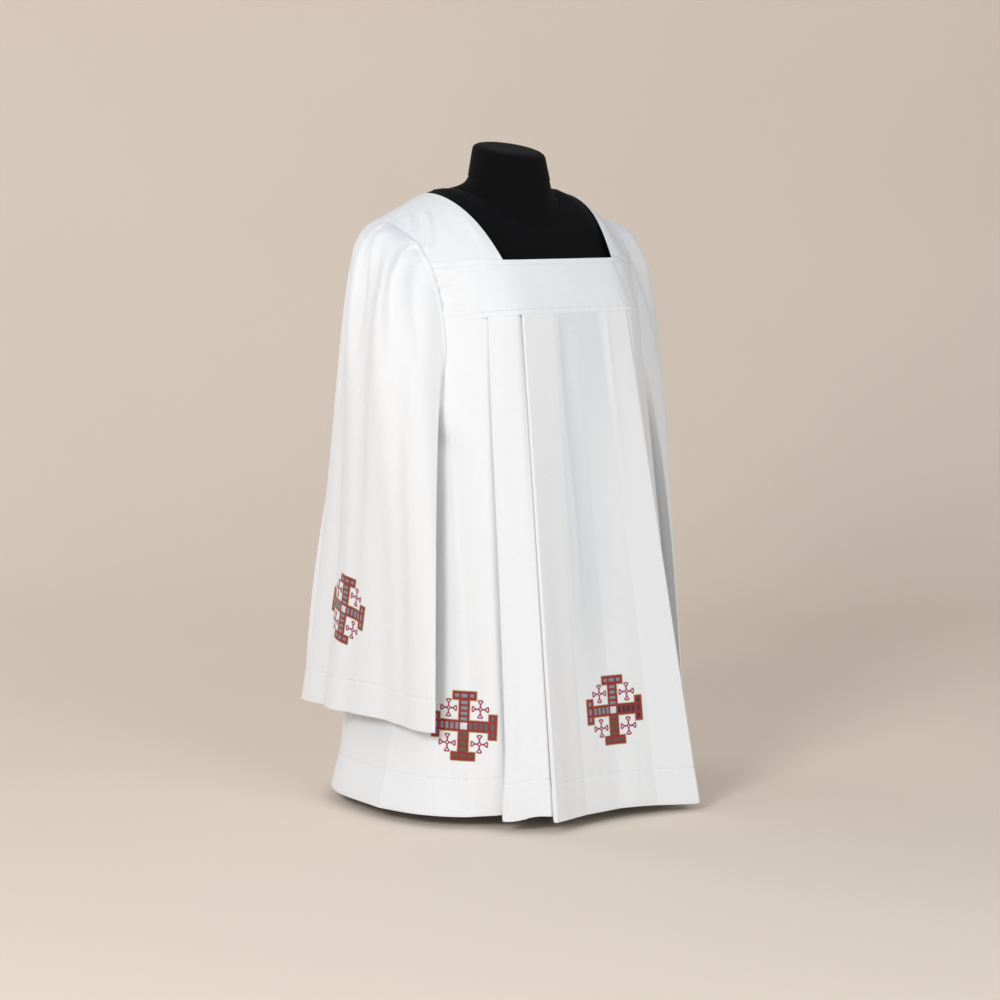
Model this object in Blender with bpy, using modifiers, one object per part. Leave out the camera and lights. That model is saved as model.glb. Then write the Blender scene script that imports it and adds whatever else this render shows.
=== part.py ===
# A liturgical surplice worn by a limbless dress form on a short stand.
# Metres, +Z up, the garment's front faces -Y, the wearer's right side is -X.
# Every place is given from the form's own upright axis, and the whole is then
# set so that its box stands centred over the origin.
import math
from collections import namedtuple

import bpy
import bmesh
from mathutils import Vector

# Driving dimensions
WALL = 0.0015            # cloth with its turnings, as one wall
SEAM = 0.0003            # gap left between two pieces
EDGE_PULL = 0.0004       # how far a piece stops short of its seam line
FORM_CLEAR = 0.0028      # the form's top under the middle of the cloth
PLEAT_STEP = 0.0024      # from layer to layer in a pressed pleat
HEM_Z = 0.016            # lower edge of the skirt above the floor
CUFF_Z = 0.142           # lower edge of the sleeves
NECK_HALF = 0.099        # half the width of the square neckline
SKIRT_ROWS = 13
SLEEVE_ROWS = 15
SHOULDER_COLUMNS = 8
BAND_SAMPLES = 13        # columns of one half of a yoke band
SEAM_STEP = 0.5          # places of the armhole table between two threads sewn into it

# The shoulder line: its height, how fast the cloth falls away from it to the
# front and back, and how far behind the axis it runs, at the neck and at the tip.
SHOULDER_NECK_X, SHOULDER_TIP_X = 0.120, 0.200
RIDGE_NECK, RIDGE_TIP = 0.8710, 0.8330
FALL_NECK, FALL_TIP, FALL_CHEST, FALL_BACK_MORE = 4.45, 8.5, 4.8, 0.6
CREST_NECK_Y, CREST_TIP_Y = 0.010, 0.020
NECK_ROOT_X = 0.098      # inside this the shoulder line runs level to the neck

# The sleeve seam round the right armhole, from the shoulder down the front and
# up the back. turn is where the same thread meets the cuff, in degrees round it.
# puff and drop are how far out and down the sleeve has gone when it starts to hang,
# and lap is the share of a wall by which the two pieces lie side by side.
SeamPlace = namedtuple("SeamPlace", "name out y z turn puff drop lap")
ARMHOLE = [SeamPlace(*row) for row in (
    ("crest", 0.2000, 0.020, 0.8330, 0.0, 0.105, 0.048, 0.3),
    ("front_1", 0.1975, -0.015, 0.8260, -20.0, 0.115, 0.000, 0.4),
    ("front_2", 0.1900, -0.050, 0.8070, -42.0, 0.109, 0.000, 0.6),
    ("band_top", 0.1815, -0.074, 0.7760, -60.0, 0.079, 0.033, 0.9),
    ("front_4", 0.1765, -0.090, 0.7350, -74.0, 0.057, 0.018, 1.0),
    ("band_end", 0.1750, -0.099, 0.6920, -88.0, 0.031, 0.028, 1.0),
    ("front_5", 0.1780, -0.104, 0.6380, -104.0, 0.020, 0.034, 1.1),
    ("front_6", 0.1880, -0.084, 0.5720, -130.0, 0.020, 0.070, 1.3),
    ("underarm", 0.1990, 0.000, 0.5300, -180.0, 0.016, 0.120, 1.5),
    ("back_6", 0.1880, 0.080, 0.5720, -230.0, 0.016, 0.070, 1.3),
    ("back_5", 0.1770, 0.099, 0.6380, -256.0, 0.022, 0.032, 1.1),
    ("back_end", 0.1740, 0.104, 0.7000, -272.0, 0.030, 0.026, 1.0),
    ("back_4", 0.1770, 0.099, 0.7520, -286.0, 0.034, 0.022, 0.9),
    ("back_top", 0.1840, 0.083, 0.7990, -303.0, 0.042, 0.018, 0.7),
    ("back_1", 0.1940, 0.055, 0.8240, -332.0, 0.060, 0.012, 0.5),
)]
# Cuff: a tube pressed nearly flat against the skirt, a little further forward on
# the wearer's right than on the left.
CUFF_FRONT_X, CUFF_BACK_X = 0.2330, 0.2400
CUFF_BOW, CUFF_HALF_THICK = 0.0110, 0.0095
CUFF_REACH = {"right": (-0.152, 0.164), "left": (-0.141, 0.160)}
CUFF_DROP = {"right": 0.0, "left": 0.004}
CUFF_BACK_DROP = 0.006
# A thread of the sleeve leaves the seam by its puff and drop and turns a little towards
# the cuff, hangs the last share of its length straight, and is sampled closer near the seam.
HEAD_TURN, HANG_SHARE, HEAD_CROWDING = 0.10, 0.42, 1.15
# The outer face hangs straighter: it slants all the way, more at the rear than at the front.
OUTER_HANG_SHARE, SLANT_FRONT, SLANT_REAR = 0.55, 0.275, 0.560
# Long soft troughs down the outer face of each sleeve.
Trough = namedtuple("Trough", "name y_high y_low width depth_high depth_low")
SLEEVE_TROUGHS = [Trough(*row) for row in (
    ("middle", -0.030, 0.030, 0.016, 0.012, 0.003),
    ("front", -0.078, -0.094, 0.013, 0.008, 0.003),
    ("rear", 0.045, 0.100, 0.016, 0.007, 0.004),
)]
OUTER_FACE_SPREAD = 1.6  # how far round the sleeve the troughs reach
FOLD_START_Z, FOLD_FULL_Z = 0.825, 0.740
FOLD_EASE = 0.12         # share of the sleeve's length over which a trough grows from the seam

# Lower edge of the yoke bands, from the middle to the armhole, front and back.
BAND_EDGE = {
    "front": ((0.000, -0.1730, 0.7060), (0.050, -0.1727, 0.7060), (0.094, -0.1705, 0.7055),
              (0.120, -0.1600, 0.7040), (0.142, -0.1430, 0.7010), (0.160, -0.1210, 0.6970)),
    "back": ((0.000, 0.1300, 0.7200), (0.050, 0.1300, 0.7200), (0.094, 0.1290, 0.7190),
             (0.125, 0.1250, 0.7150), (0.150, 0.1170, 0.7090), (0.165, 0.1100, 0.7040)),
}
# Upper edge: the neckline in the middle, then the seam with the shoulder piece.
BAND_TOP = {
    "front": ((0.000, -0.1420, 0.7800), (0.050, -0.1400, 0.7800), (0.099, -0.1330, 0.7800),
              (0.130, -0.1180, 0.7815), (0.158, -0.0980, 0.7770)),
    "back": ((0.000, 0.1230, 0.8200), (0.050, 0.1220, 0.8200), (0.099, 0.1180, 0.8190),
             (0.130, 0.1080, 0.8145), (0.160, 0.0970, 0.8060)),
}
NECK_CORNER = 2  # row of BAND_TOP where the neckline turns up the shoulder
BLEND = 0.22     # share of the shoulder piece that eases into each band's seam

# Knife pleats of one half skirt, from the middle panel outwards. Each fold edge is
# given at the yoke and at the hem, and each turns the cloth back under itself.
FoldEdge = namedtuple("FoldEdge", "name top_x top_y hem_x hem_y")
PLEATS = {
    "front": [FoldEdge(*row) for row in (
        ("fold_2", 0.0940, -0.1700, 0.1270, -0.2880),
        ("under_2", 0.0400, -0.1676, 0.0660, -0.2640),
        ("fold_1", 0.1360, -0.1440, 0.1790, -0.2390),
        ("under_1", 0.0980, -0.1600, 0.1120, -0.2240),
    )],
    "back": [FoldEdge(*row) for row in (
        ("fold_2", 0.0940, 0.1285, 0.1240, 0.1930),
        ("under_2", 0.0420, 0.1261, 0.0680, 0.1740),
        ("fold_1", 0.1400, 0.1170, 0.1720, 0.1640),
        ("under_1", 0.0985, 0.1215, 0.1160, 0.1530),
    )],
}
# The middle panel between the innermost folds: plain points at the yoke and hem.
MIDDLE_PANEL = {
    "front": [FoldEdge(*row) for row in (
        ("centre", 0.000, -0.1730, 0.000, -0.2720),
        ("half_way", 0.048, -0.1728, 0.064, -0.2780),
    )],
    "back": [FoldEdge(*row) for row in (
        ("centre", 0.000, 0.1300, 0.000, 0.1830),
        ("half_way", 0.048, 0.1300, 0.062, 0.1860),
    )],
}
# Side panel from the under fold round to the side seam: where its threads start, by
# place along the band's edge and on down the armhole, where they end at the hem,
# and how far the sleeve presses them in.
SideThread = namedtuple("SideThread", "start hem_x hem_y press")
SIDE_PANEL = {
    "front": [SideThread(*row) for row in (
        (4.40, 0.150, -0.2130, 0.000),
        (6.00, 0.188, -0.1960, 0.004),
        (7.00, 0.222, -0.1640, 0.013),
        (8.00, 0.248, -0.1200, 0.018),
        (9.00, 0.263, -0.0600, 0.021),
    )],
    "back": [SideThread(*row) for row in (
        (4.40, 0.148, 0.1500, 0.002),
        (6.00, 0.184, 0.1440, 0.008),
        (7.00, 0.215, 0.1240, 0.014),
        (8.00, 0.252, 0.0560, 0.019),
        (9.00, 0.263, -0.0600, 0.021),
    )],
}
SIDE_STARTS = (4.4, 4.9, 5.4, 6.0, 6.5, 7.0, 7.5, 8.0, 8.5, 9.0)
# How the sleeve's pressure builds down the skirt: share of the way down, share of press.
PRESS_DOWN = (
    (0.00, 0.00),
    (0.06, 0.22),
    (0.30, 0.60),
    (0.60, 0.95),
    (0.76, 1.00),
    (0.88, 0.62),
    (1.00, 0.00),
)
# The front hem swings a little further forward on the wearer's left. The lean fades
# out over the side panel, so that the side seams still meet.
HEM_LEAN, LEAN_FADES_FROM, LEAN_FADES_OVER = 0.050, 0.13, 0.10

# The dress form, from its top down: height, half width, reach to the front and back
# of its own middle, and how square the section is. The top follows the shoulder cloth.
Section = namedtuple("Section", "z half_width front back power")
FORM_NECK_ROOT = Section("top", 0.0640, 0.0780, 0.0500, 2.0)
FORM_SHOULDER = Section("top", 0.1860, 0.1180, 0.0980, 2.4)
FORM_BODY = [Section(*row) for row in (
    (0.770, 0.182, 0.1440, 0.1110, 2.4),
    (0.730, 0.171, 0.1560, 0.1150, 2.4),
    (0.680, 0.166, 0.1580, 0.1140, 2.3),
    (0.600, 0.160, 0.1400, 0.1060, 2.2),
    (0.480, 0.142, 0.1020, 0.0900, 2.1),
    (0.360, 0.152, 0.1080, 0.1020, 2.1),
    (0.260, 0.160, 0.1120, 0.1120, 2.1),
    (0.205, 0.154, 0.1060, 0.1060, 2.1),
    (0.190, 0.136, 0.0900, 0.0900, 2.0),
)]
FORM_TOP_MIDDLE_Y, FORM_BODY_MIDDLE_Y = 0.012, 0.005
FORM_COLUMN_COUNT = 36
FORM_TOP_STEPS = 5
SLOPE_STEP = 0.001       # distance over which the shoulder's slope is taken

# The neck column and its cap, which slopes down to the front over a rounded rim.
NECK_RADIUS, NECK_CENTRE_Y = 0.0565, -0.0190
NECK_WAIST_Z, NECK_TOP_FRONT, NECK_TOP_BACK = 0.8990, 0.9220, 0.9470
NECK_WAIST_FLARE = 0.0015
RimRing = namedtuple("RimRing", "inset height")
NECK_RIM = [RimRing(*row) for row in ((0.016, 0.0010), (0.006, -0.0008), (0.001, -0.0060))]

# The stand under the form.
BASE_RADIUS, BASE_THICK = 0.140, 0.010
POLE_RADIUS, SOCKET_RADIUS, SOCKET_HEIGHT = 0.0125, 0.032, 0.024
STAND_SIDES = 40
FORM_FOOT_Z = 0.190
SMOOTH_UNDER_DEGREES = 40

PART_NAME = "surplice_on_dress_form"


def clear_scene():
    for old in list(bpy.data.objects):
        bpy.data.objects.remove(old, do_unlink=True)


def material(name, colour, roughness, metallic=0.0):
    made = bpy.data.materials.new(name)
    made.use_nodes = True
    shader = made.node_tree.nodes["Principled BSDF"]
    shader.inputs["Base Color"].default_value = (*colour, 1.0)
    shader.inputs["Roughness"].default_value = roughness
    shader.inputs["Metallic"].default_value = metallic
    return made


def between(a, b, share):
    return tuple(p + (q - p) * share for p, q in zip(a, b))


def smooth_step(share):
    share = min(1.0, max(0.0, share))
    return share * share * (3.0 - 2.0 * share)


def curve_at(points, place, cyclic=False):
    """A smooth curve through the points; place 1.5 is half way from point 1 to point 2."""
    count = len(points)
    if cyclic:
        start = math.floor(place)
        share = place - start
        p = [points[(start + k) % count] for k in (-1, 0, 1, 2)]
    else:
        start = min(max(math.floor(place), 0), count - 2)
        share = place - start
        p = [points[min(max(start + k, 0), count - 1)] for k in (-1, 0, 1, 2)]
        if start == 0:
            p[0] = tuple(2 * a - b for a, b in zip(p[1], p[2]))
        if start == count - 2:
            p[3] = tuple(2 * b - a for a, b in zip(p[1], p[2]))
    s2, s3 = share * share, share * share * share
    return tuple(
        0.5 * (2 * b + (c - a) * share + (2 * a - 5 * b + 4 * c - d) * s2 + (3 * b - a - 3 * c + d) * s3)
        for a, b, c, d in zip(*p)
    )


def mirrored(point):
    return (-point[0], point[1], point[2])


def shoulder_height(x, y):
    """Height of the cloth's middle over the shoulders, at one place in plan."""
    out = abs(x)
    share = (out - SHOULDER_NECK_X) / (SHOULDER_TIP_X - SHOULDER_NECK_X)
    root = (NECK_ROOT_X - SHOULDER_NECK_X) / (SHOULDER_TIP_X - SHOULDER_NECK_X)
    ridge = RIDGE_NECK + (RIDGE_TIP - RIDGE_NECK) * max(share, root)
    fall = FALL_NECK + (FALL_TIP - FALL_NECK) * max(share, 0.0)
    chest = (SHOULDER_NECK_X - out) / (SHOULDER_NECK_X - NECK_HALF)
    fall += (FALL_CHEST - FALL_NECK) * smooth_step(chest)
    crest = CREST_NECK_Y + (CREST_TIP_Y - CREST_NECK_Y) * max(share, 0.0)
    fall += FALL_BACK_MORE if y > crest else 0.0
    return ridge - fall * (y - crest) ** 2


def armhole_rows(kind):
    return [tuple(getattr(row, name) for name in kind) for row in ARMHOLE]


def armhole_place(name):
    return [row.name for row in ARMHOLE].index(name)


def armhole_places(start, end):
    """The places of the sewn threads from one place of the armhole to another."""
    count = round(abs(end - start) / SEAM_STEP)
    return [start + (end - start) * k / count for k in range(count + 1)]


def armhole_point(place):
    return curve_at(armhole_rows(("out", "y", "z")), place, cyclic=True)


def sheet(name, grid, cloth, parent, around=False):
    """A cloth piece: the grid is the middle of the wall, and the wall grows both ways."""
    rows, columns = len(grid), len(grid[0])
    shape = bmesh.new()
    verts = [[shape.verts.new(point) for point in row] for row in grid]
    last = columns if around else columns - 1
    for r in range(rows - 1):
        for c in range(last):
            n = (c + 1) % columns
            shape.faces.new((verts[r][c], verts[r][n], verts[r + 1][n], verts[r + 1][c]))
    bmesh.ops.recalc_face_normals(shape, faces=shape.faces)
    made = add_object(name, shape, cloth, parent)
    wall = made.modifiers.new("wall", "SOLIDIFY")
    wall.thickness = WALL
    wall.offset = 0.0
    wall.use_even_offset = True
    wall.use_rim = True
    return made


def add_object(name, shape, finish, parent):
    mesh = bpy.data.meshes.new(name)
    shape.to_mesh(mesh)
    shape.free()
    mesh.materials.append(finish)
    mesh.shade_smooth()
    mesh.set_sharp_from_angle(angle=math.radians(SMOOTH_UNDER_DEGREES))
    made = bpy.data.objects.new(name, mesh)
    parent.users_collection[0].objects.link(made)
    made.parent = parent
    return made


def pulled_back(line, steps):
    """The line with its first and last points moved inwards along it by the steps."""
    line = [Vector(point) for point in line]
    for end, inner, step in ((0, 1, steps[0]), (-1, -2, steps[1])):
        line[end] = line[end] + (line[inner] - line[end]).normalized() * step
    return [tuple(point) for point in line]


def pulled_edges(grid, along_rows, along_columns):
    """The grid drawn in from its four edges: each pair is the first and the last edge."""
    rows = [pulled_back(row, along_rows) for row in grid]
    columns = [pulled_back(column, along_columns) for column in zip(*rows)]
    return [list(row) for row in zip(*columns)]


def cuff_point(turn, side):
    front, back = CUFF_REACH[side]
    angle = math.radians(turn)
    far = (1.0 + math.sin(angle)) / 2
    end_x = CUFF_FRONT_X + (CUFF_BACK_X - CUFF_FRONT_X) * far
    return (
        end_x + CUFF_BOW * math.cos(angle) ** 2 + CUFF_HALF_THICK * math.cos(angle),
        front + (back - front) * far,
        CUFF_Z - CUFF_DROP[side] - CUFF_BACK_DROP * far,
    )


def trough_depth(point, turn):
    """How far the outer face sinks in at a point of the sleeve."""
    outer = smooth_step(math.cos(math.radians(turn)) * OUTER_FACE_SPREAD)
    started = smooth_step((FOLD_START_Z - point[2]) / (FOLD_START_Z - FOLD_FULL_Z))
    down = (FOLD_FULL_Z - point[2]) / (FOLD_FULL_Z - CUFF_Z)
    down = min(1.0, max(0.0, down))
    sunk = 0.0
    for trough in SLEEVE_TROUGHS:
        middle = trough.y_high + (trough.y_low - trough.y_high) * down
        away = (point[1] - middle) / trough.width
        depth = trough.depth_high + (trough.depth_low - trough.depth_high) * down
        sunk += depth * math.exp(-away * away)
    return sunk * outer * started


def sleeve_point(place, share, side):
    """One thread of the sleeve, from the armhole seam (share 0) down to the cuff (share 1)."""
    kinds = ("out", "y", "z", "puff", "drop", "lap")
    out, y, z, puff, drop, lap = curve_at(armhole_rows(kinds), place, cyclic=True)
    turns = [row.turn for row in ARMHOLE] + [-360.0]
    start = math.floor(place)
    turn = turns[start] + (turns[start + 1] - turns[start]) * (place - start)
    head = (out + SEAM + WALL * lap, y, z)
    foot = cuff_point(turn, side)
    long = head[2] - foot[2]
    near = (head[0] + puff, head[1] + HEAD_TURN * (foot[1] - head[1]), head[2] - drop)
    angle = math.radians(turn)
    outer = smooth_step((math.cos(angle) + 0.35) / 0.35)
    slant = outer * (SLANT_FRONT + (SLANT_REAR - SLANT_FRONT) * smooth_step((1.0 + math.sin(angle)) / 2))
    hang = HANG_SHARE + (OUTER_HANG_SHARE - HANG_SHARE) * outer
    far = (foot[0] - slant * (foot[0] - head[0]), foot[1] - slant * (foot[1] - head[1]), foot[2] + hang * long)
    s, t = 1.0 - share, share
    point = [
        s ** 3 * a + 3 * s * s * t * b + 3 * s * t * t * c + t ** 3 * d
        for a, b, c, d in zip(head, near, far, foot)
    ]
    point[0] -= trough_depth(point, turn) * smooth_step(share / FOLD_EASE)
    return tuple(point)


def build_sleeve(side, cloth, parent):
    places = [SEAM_STEP * k for k in range(round(len(ARMHOLE) / SEAM_STEP))]
    grid = []
    for r in range(SLEEVE_ROWS):
        share = (r / (SLEEVE_ROWS - 1)) ** HEAD_CROWDING
        row = [sleeve_point(place, share, side) for place in places]
        grid.append([mirrored(point) for point in row] if side == "right" else row)
    return sheet("sleeve_" + side, grid, cloth, parent, around=True)


def half_line(points, end, count):
    """Evenly spread samples of a smooth line that ends on the armhole."""
    line = list(points) + [end]
    return [curve_at(line, (len(line) - 1) * k / (count - 1)) for k in range(count)]


def both_halves(half):
    """A line from the left armhole to the right one, out of the half that starts in the middle."""
    return [mirrored(point) for point in reversed(half[1:])] + list(half)


def build_band(side, cloth, parent):
    """The yoke band: a wide strip from the neckline down to the pleats."""
    top_name, end_name = {"front": ("band_top", "band_end"), "back": ("back_top", "back_end")}[side]
    places = armhole_places(armhole_place(top_name), armhole_place(end_name))
    top = both_halves(half_line(BAND_TOP[side], armhole_point(places[0]), BAND_SAMPLES))
    low = both_halves(half_line(BAND_EDGE[side], armhole_point(places[-1]), BAND_SAMPLES))
    grid = []
    for r, place in enumerate(places):
        row = [between(a, b, r / (len(places) - 1)) for a, b in zip(top, low)]
        seam = armhole_point(place)
        row[0], row[-1] = mirrored(seam), seam
        grid.append(row)
    pull = (EDGE_PULL, EDGE_PULL)
    return sheet(side + "_yoke", pulled_edges(grid, pull, pull), cloth, parent)


def eased(point, target, share):
    """The point drawn towards a point of the band's seam, along the shoulder's own slope."""
    x, y = between(point[:2], target[:2], share)
    lift = target[2] - shoulder_height(target[0], target[1])
    return (x, y, shoulder_height(x, y) + lift * share)


def build_shoulder(side, cloth, parent):
    """The piece over one shoulder, from the front band's seam to the back band's."""
    front_place, back_place = armhole_place("band_top"), armhole_place("back_top")
    front_line = half_line(BAND_TOP["front"][NECK_CORNER:], armhole_point(front_place), SHOULDER_COLUMNS)
    back_line = half_line(BAND_TOP["back"][NECK_CORNER:], armhole_point(back_place), SHOULDER_COLUMNS)
    places = armhole_places(front_place, 0) + armhole_places(len(ARMHOLE), back_place)[1:]
    grid = []
    for r, place in enumerate(places):
        share = r / (len(places) - 1)
        seam = armhole_point(place)
        neck_y = front_line[0][1] + (back_line[0][1] - front_line[0][1]) * share
        neck_x = NECK_HALF + (SHOULDER_NECK_X - NECK_HALF) * math.sin(math.pi * share)
        row = []
        for c in range(SHOULDER_COLUMNS):
            x, y = between((neck_x, neck_y), seam[:2], c / (SHOULDER_COLUMNS - 1))
            row.append((x, y, shoulder_height(x, y)))
        for line, near in ((front_line, 1.0 - share / BLEND), (back_line, 1.0 - (1.0 - share) / BLEND)):
            if near > 0.0:
                row = [eased(point, target, smooth_step(near)) for point, target in zip(row, line)]
        row[-1] = seam
        grid.append(row)
    pull = (EDGE_PULL, EDGE_PULL)
    grid = pulled_edges(grid, (0.0, EDGE_PULL), pull)
    if side == "right":
        grid = [[mirrored(point) for point in row] for row in grid]
    return sheet("shoulder_" + side, grid, cloth, parent)


def pleat_turn(tip, outwards, to_front):
    """Three plan points that carry the cloth round a fold edge, one layer further in."""
    x, y = tip
    reach = PLEAT_STEP / 2
    inwards = 1.0 if to_front else -1.0
    sign = 1.0 if outwards else -1.0
    return [
        (x - sign * reach, y - inwards * reach),
        (x, y),
        (x - sign * reach, y + inwards * reach),
    ]


def plan_place(edge, at_hem):
    return (edge.hem_x, edge.hem_y) if at_hem else (edge.top_x, edge.top_y)


def pleat_line(side, at_hem):
    """The plan of the pleats, from the middle of the skirt to the last under fold."""
    line = [plan_place(edge, at_hem) for edge in MIDDLE_PANEL[side]]
    for edge in PLEATS[side]:
        line += pleat_turn(plan_place(edge, at_hem), edge.name.startswith("fold"), side == "front")
    return line


def band_height(side, x):
    """Height of the yoke band's lower edge at a distance from the middle."""
    edge = BAND_EDGE[side]
    for a, b in zip(edge, edge[1:]):
        if x <= b[0]:
            return a[2] + (b[2] - a[2]) * (x - a[0]) / (b[0] - a[0])
    return edge[-1][2]


def press_at(share):
    for a, b in zip(PRESS_DOWN, PRESS_DOWN[1:]):
        if share <= b[0]:
            return a[1] + (b[1] - a[1]) * smooth_step((share - a[0]) / (b[0] - a[0]))
    return 0.0


def top_edge(side, place):
    """The skirt's upper edge: along the band to its end, then down the armhole."""
    end_name, way = {"front": ("band_end", 1), "back": ("back_end", -1)}[side]
    end = armhole_place(end_name)
    line = list(BAND_EDGE[side]) + [armhole_point(end)]
    if place <= len(line) - 1:
        return curve_at(line, place)
    return armhole_point(end + way * (place - (len(line) - 1)))


def side_threads(side):
    """Starts, hem places and pressing of the threads between the pleats and the side seam."""
    rows = SIDE_PANEL[side]
    hems = [row[1:] for row in rows]
    threads = []
    for start in SIDE_STARTS:
        low = max(k for k in range(len(rows) - 1) if rows[k].start <= start)
        share = (start - rows[low].start) / (rows[low + 1].start - rows[low].start)
        threads.append((top_edge(side, start), curve_at(hems, low + share)))
    return threads


def half_skirt(side):
    """Threads of one half, from the middle to the side seam: (top point, hem plan, press)."""
    threads = []
    for top, hem in zip(pleat_line(side, False), pleat_line(side, True)):
        threads.append(((top[0], top[1], band_height(side, top[0])), hem, 0.0))
    for top, (hem_x, hem_y, press) in side_threads(side):
        threads.append((top, (hem_x, hem_y), press))
    return threads


def thread_point(thread, share, lean):
    (x, y, z), (hem_x, hem_y), press = thread
    plan_x = x + (hem_x - x) * share - press * press_at(share)
    plan_y = y + (hem_y - y) * share
    return (plan_x, plan_y - lean * share * plan_x, z + (HEM_Z - z) * share)


def lean_share(thread):
    """How much of the hem's lean this thread takes."""
    hem_x = thread[1][0]
    return 1.0 - smooth_step((hem_x - LEAN_FADES_FROM) / LEAN_FADES_OVER)


def build_skirt(side, cloth, parent):
    half = half_skirt(side)
    lean = HEM_LEAN if side == "front" else 0.0
    grid = []
    for r in range(SKIRT_ROWS):
        share = r / (SKIRT_ROWS - 1)
        left = [thread_point(thread, share, lean * lean_share(thread)) for thread in half]
        right = [thread_point(thread, share, -lean * lean_share(thread)) for thread in half[1:]]
        grid.append([mirrored(point) for point in reversed(right)] + left)
    pull = (EDGE_PULL, EDGE_PULL)
    return sheet(side + "_skirt", pulled_edges(grid, pull, (2 * EDGE_PULL, 0.0)), cloth, parent)


def ring(half_width, front, back, power, height, centre_y):
    """One closed section of the form; height is a number or a function of the plan."""
    points = []
    for k in range(FORM_COLUMN_COUNT):
        angle = 2 * math.pi * k / FORM_COLUMN_COUNT
        c, s = math.cos(angle), math.sin(angle)
        x = half_width * math.copysign(abs(c) ** (2 / power), c)
        reach = back if s > 0 else front
        y = centre_y + reach * math.copysign(abs(s) ** (2 / power), s)
        points.append((x, y, height(x, y) if callable(height) else height))
    return points


def solid_loft(name, rings, finish, parent):
    """A closed body through the rings, from its top to its foot, with a fan over each end."""
    shape = bmesh.new()
    loops = [[shape.verts.new(point) for point in points] for points in rings]
    for upper, lower in zip(loops, loops[1:]):
        for k in range(len(upper)):
            n = (k + 1) % len(upper)
            shape.faces.new((upper[k], lower[k], lower[n], upper[n]))
    for loop in (loops[0], loops[-1]):
        middle = sum((vert.co for vert in loop), Vector()) / len(loop)
        hub = shape.verts.new(middle)
        for k in range(len(loop)):
            shape.faces.new((loop[k], loop[(k + 1) % len(loop)], hub))
    bmesh.ops.recalc_face_normals(shape, faces=shape.faces)
    return add_object(name, shape, finish, parent)


def form_height(x, y):
    """The form's top, a little inside the cloth, measured square to the slope."""
    ahead, behind = shoulder_height(x, y + SLOPE_STEP), shoulder_height(x, y - SLOPE_STEP)
    rise = (ahead - behind) / (2 * SLOPE_STEP)
    return shoulder_height(x, y) - FORM_CLEAR * math.hypot(1.0, rise)


def build_torso(jersey, parent):
    rings = []
    for step in range(FORM_TOP_STEPS):
        share = step / (FORM_TOP_STEPS - 1)
        outline = between(FORM_NECK_ROOT[1:], FORM_SHOULDER[1:], share)
        rings.append(ring(*outline, form_height, FORM_TOP_MIDDLE_Y))
    for z, *outline in FORM_BODY:
        rings.append(ring(*outline, z, FORM_BODY_MIDDLE_Y))
    return solid_loft("form_torso", rings, jersey, parent)


def neck_top(y):
    """Height of the cap's sloping top at a distance along the depth."""
    share = (y - NECK_CENTRE_Y + NECK_RADIUS) / (2 * NECK_RADIUS)
    return NECK_TOP_FRONT + (NECK_TOP_BACK - NECK_TOP_FRONT) * share


def neck_ring(radius, height):
    return ring(radius, radius, radius, 2.0, height, NECK_CENTRE_Y)


def build_neck(jersey, parent):
    """The neck: a short column on the form's top."""
    last = NECK_RIM[-1]
    rings = []
    for rim in NECK_RIM:
        rings.append(neck_ring(NECK_RADIUS - rim.inset, lambda x, y: neck_top(y) + rim.height))
    rings.append(neck_ring(NECK_RADIUS, lambda x, y: (neck_top(y) + last.height + NECK_WAIST_Z) / 2))
    rings.append(neck_ring(NECK_RADIUS + NECK_WAIST_FLARE, NECK_WAIST_Z))
    rings.append(ring(*FORM_NECK_ROOT[1:], lambda x, y: form_height(x, y) + SEAM, FORM_TOP_MIDDLE_Y))
    return solid_loft("form_neck", rings, jersey, parent)


def build_disc(name, radius, bottom, top, finish, parent):
    """A round piece of the stand."""
    shape = bmesh.new()
    bmesh.ops.create_cone(shape, cap_ends=True, segments=STAND_SIDES, radius1=radius,
                          radius2=radius, depth=top - bottom)
    made = add_object(name, shape, finish, parent)
    made.location = (0.0, 0.0, (top + bottom) / 2)
    return made


def build_stand(metal, parent):
    build_disc("stand_base", BASE_RADIUS, 0.0, BASE_THICK, metal, parent)
    pole_foot, pole_top = BASE_THICK + SEAM, FORM_FOOT_Z - SOCKET_HEIGHT - 2 * SEAM
    build_disc("stand_pole", POLE_RADIUS, pole_foot, pole_top, metal, parent)
    build_disc("stand_socket", SOCKET_RADIUS, pole_top + SEAM, FORM_FOOT_Z - SEAM, metal, parent)


def centre_over_origin(parent):
    """Moves the whole so that its box is centred over the origin."""
    bpy.context.view_layer.update()
    graph = bpy.context.evaluated_depsgraph_get()
    low, high = Vector((9, 9, 9)), Vector((-9, -9, -9))
    for made in parent.children:
        seen = made.evaluated_get(graph)
        for corner in seen.bound_box:
            place = seen.matrix_world @ Vector(corner)
            low = Vector(map(min, low, place))
            high = Vector(map(max, high, place))
    parent.location = (-(low.x + high.x) / 2, -(low.y + high.y) / 2, -low.z)
    bpy.context.view_layer.update()


def main():
    clear_scene()
    group = bpy.data.collections.new(PART_NAME)
    bpy.context.scene.collection.children.link(group)
    axis = bpy.data.objects.new(PART_NAME + "_axis", None)
    group.objects.link(axis)
    cloth = material("white_cloth", (0.86, 0.88, 0.90), 0.75)
    jersey = material("black_jersey", (0.012, 0.012, 0.013), 0.85)
    metal = material("black_steel", (0.03, 0.03, 0.032), 0.4, 0.9)
    for side in ("front", "back"):
        build_band(side, cloth, axis)
        build_skirt(side, cloth, axis)
    for side in ("right", "left"):
        build_shoulder(side, cloth, axis)
        build_sleeve(side, cloth, axis)
    build_torso(jersey, axis)
    build_neck(jersey, axis)
    build_stand(metal, axis)
    centre_over_origin(axis)


main()
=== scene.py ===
import math
from collections import namedtuple

import bpy
import numpy as np
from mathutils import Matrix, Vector
from mathutils.bvhtree import BVHTree


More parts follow.
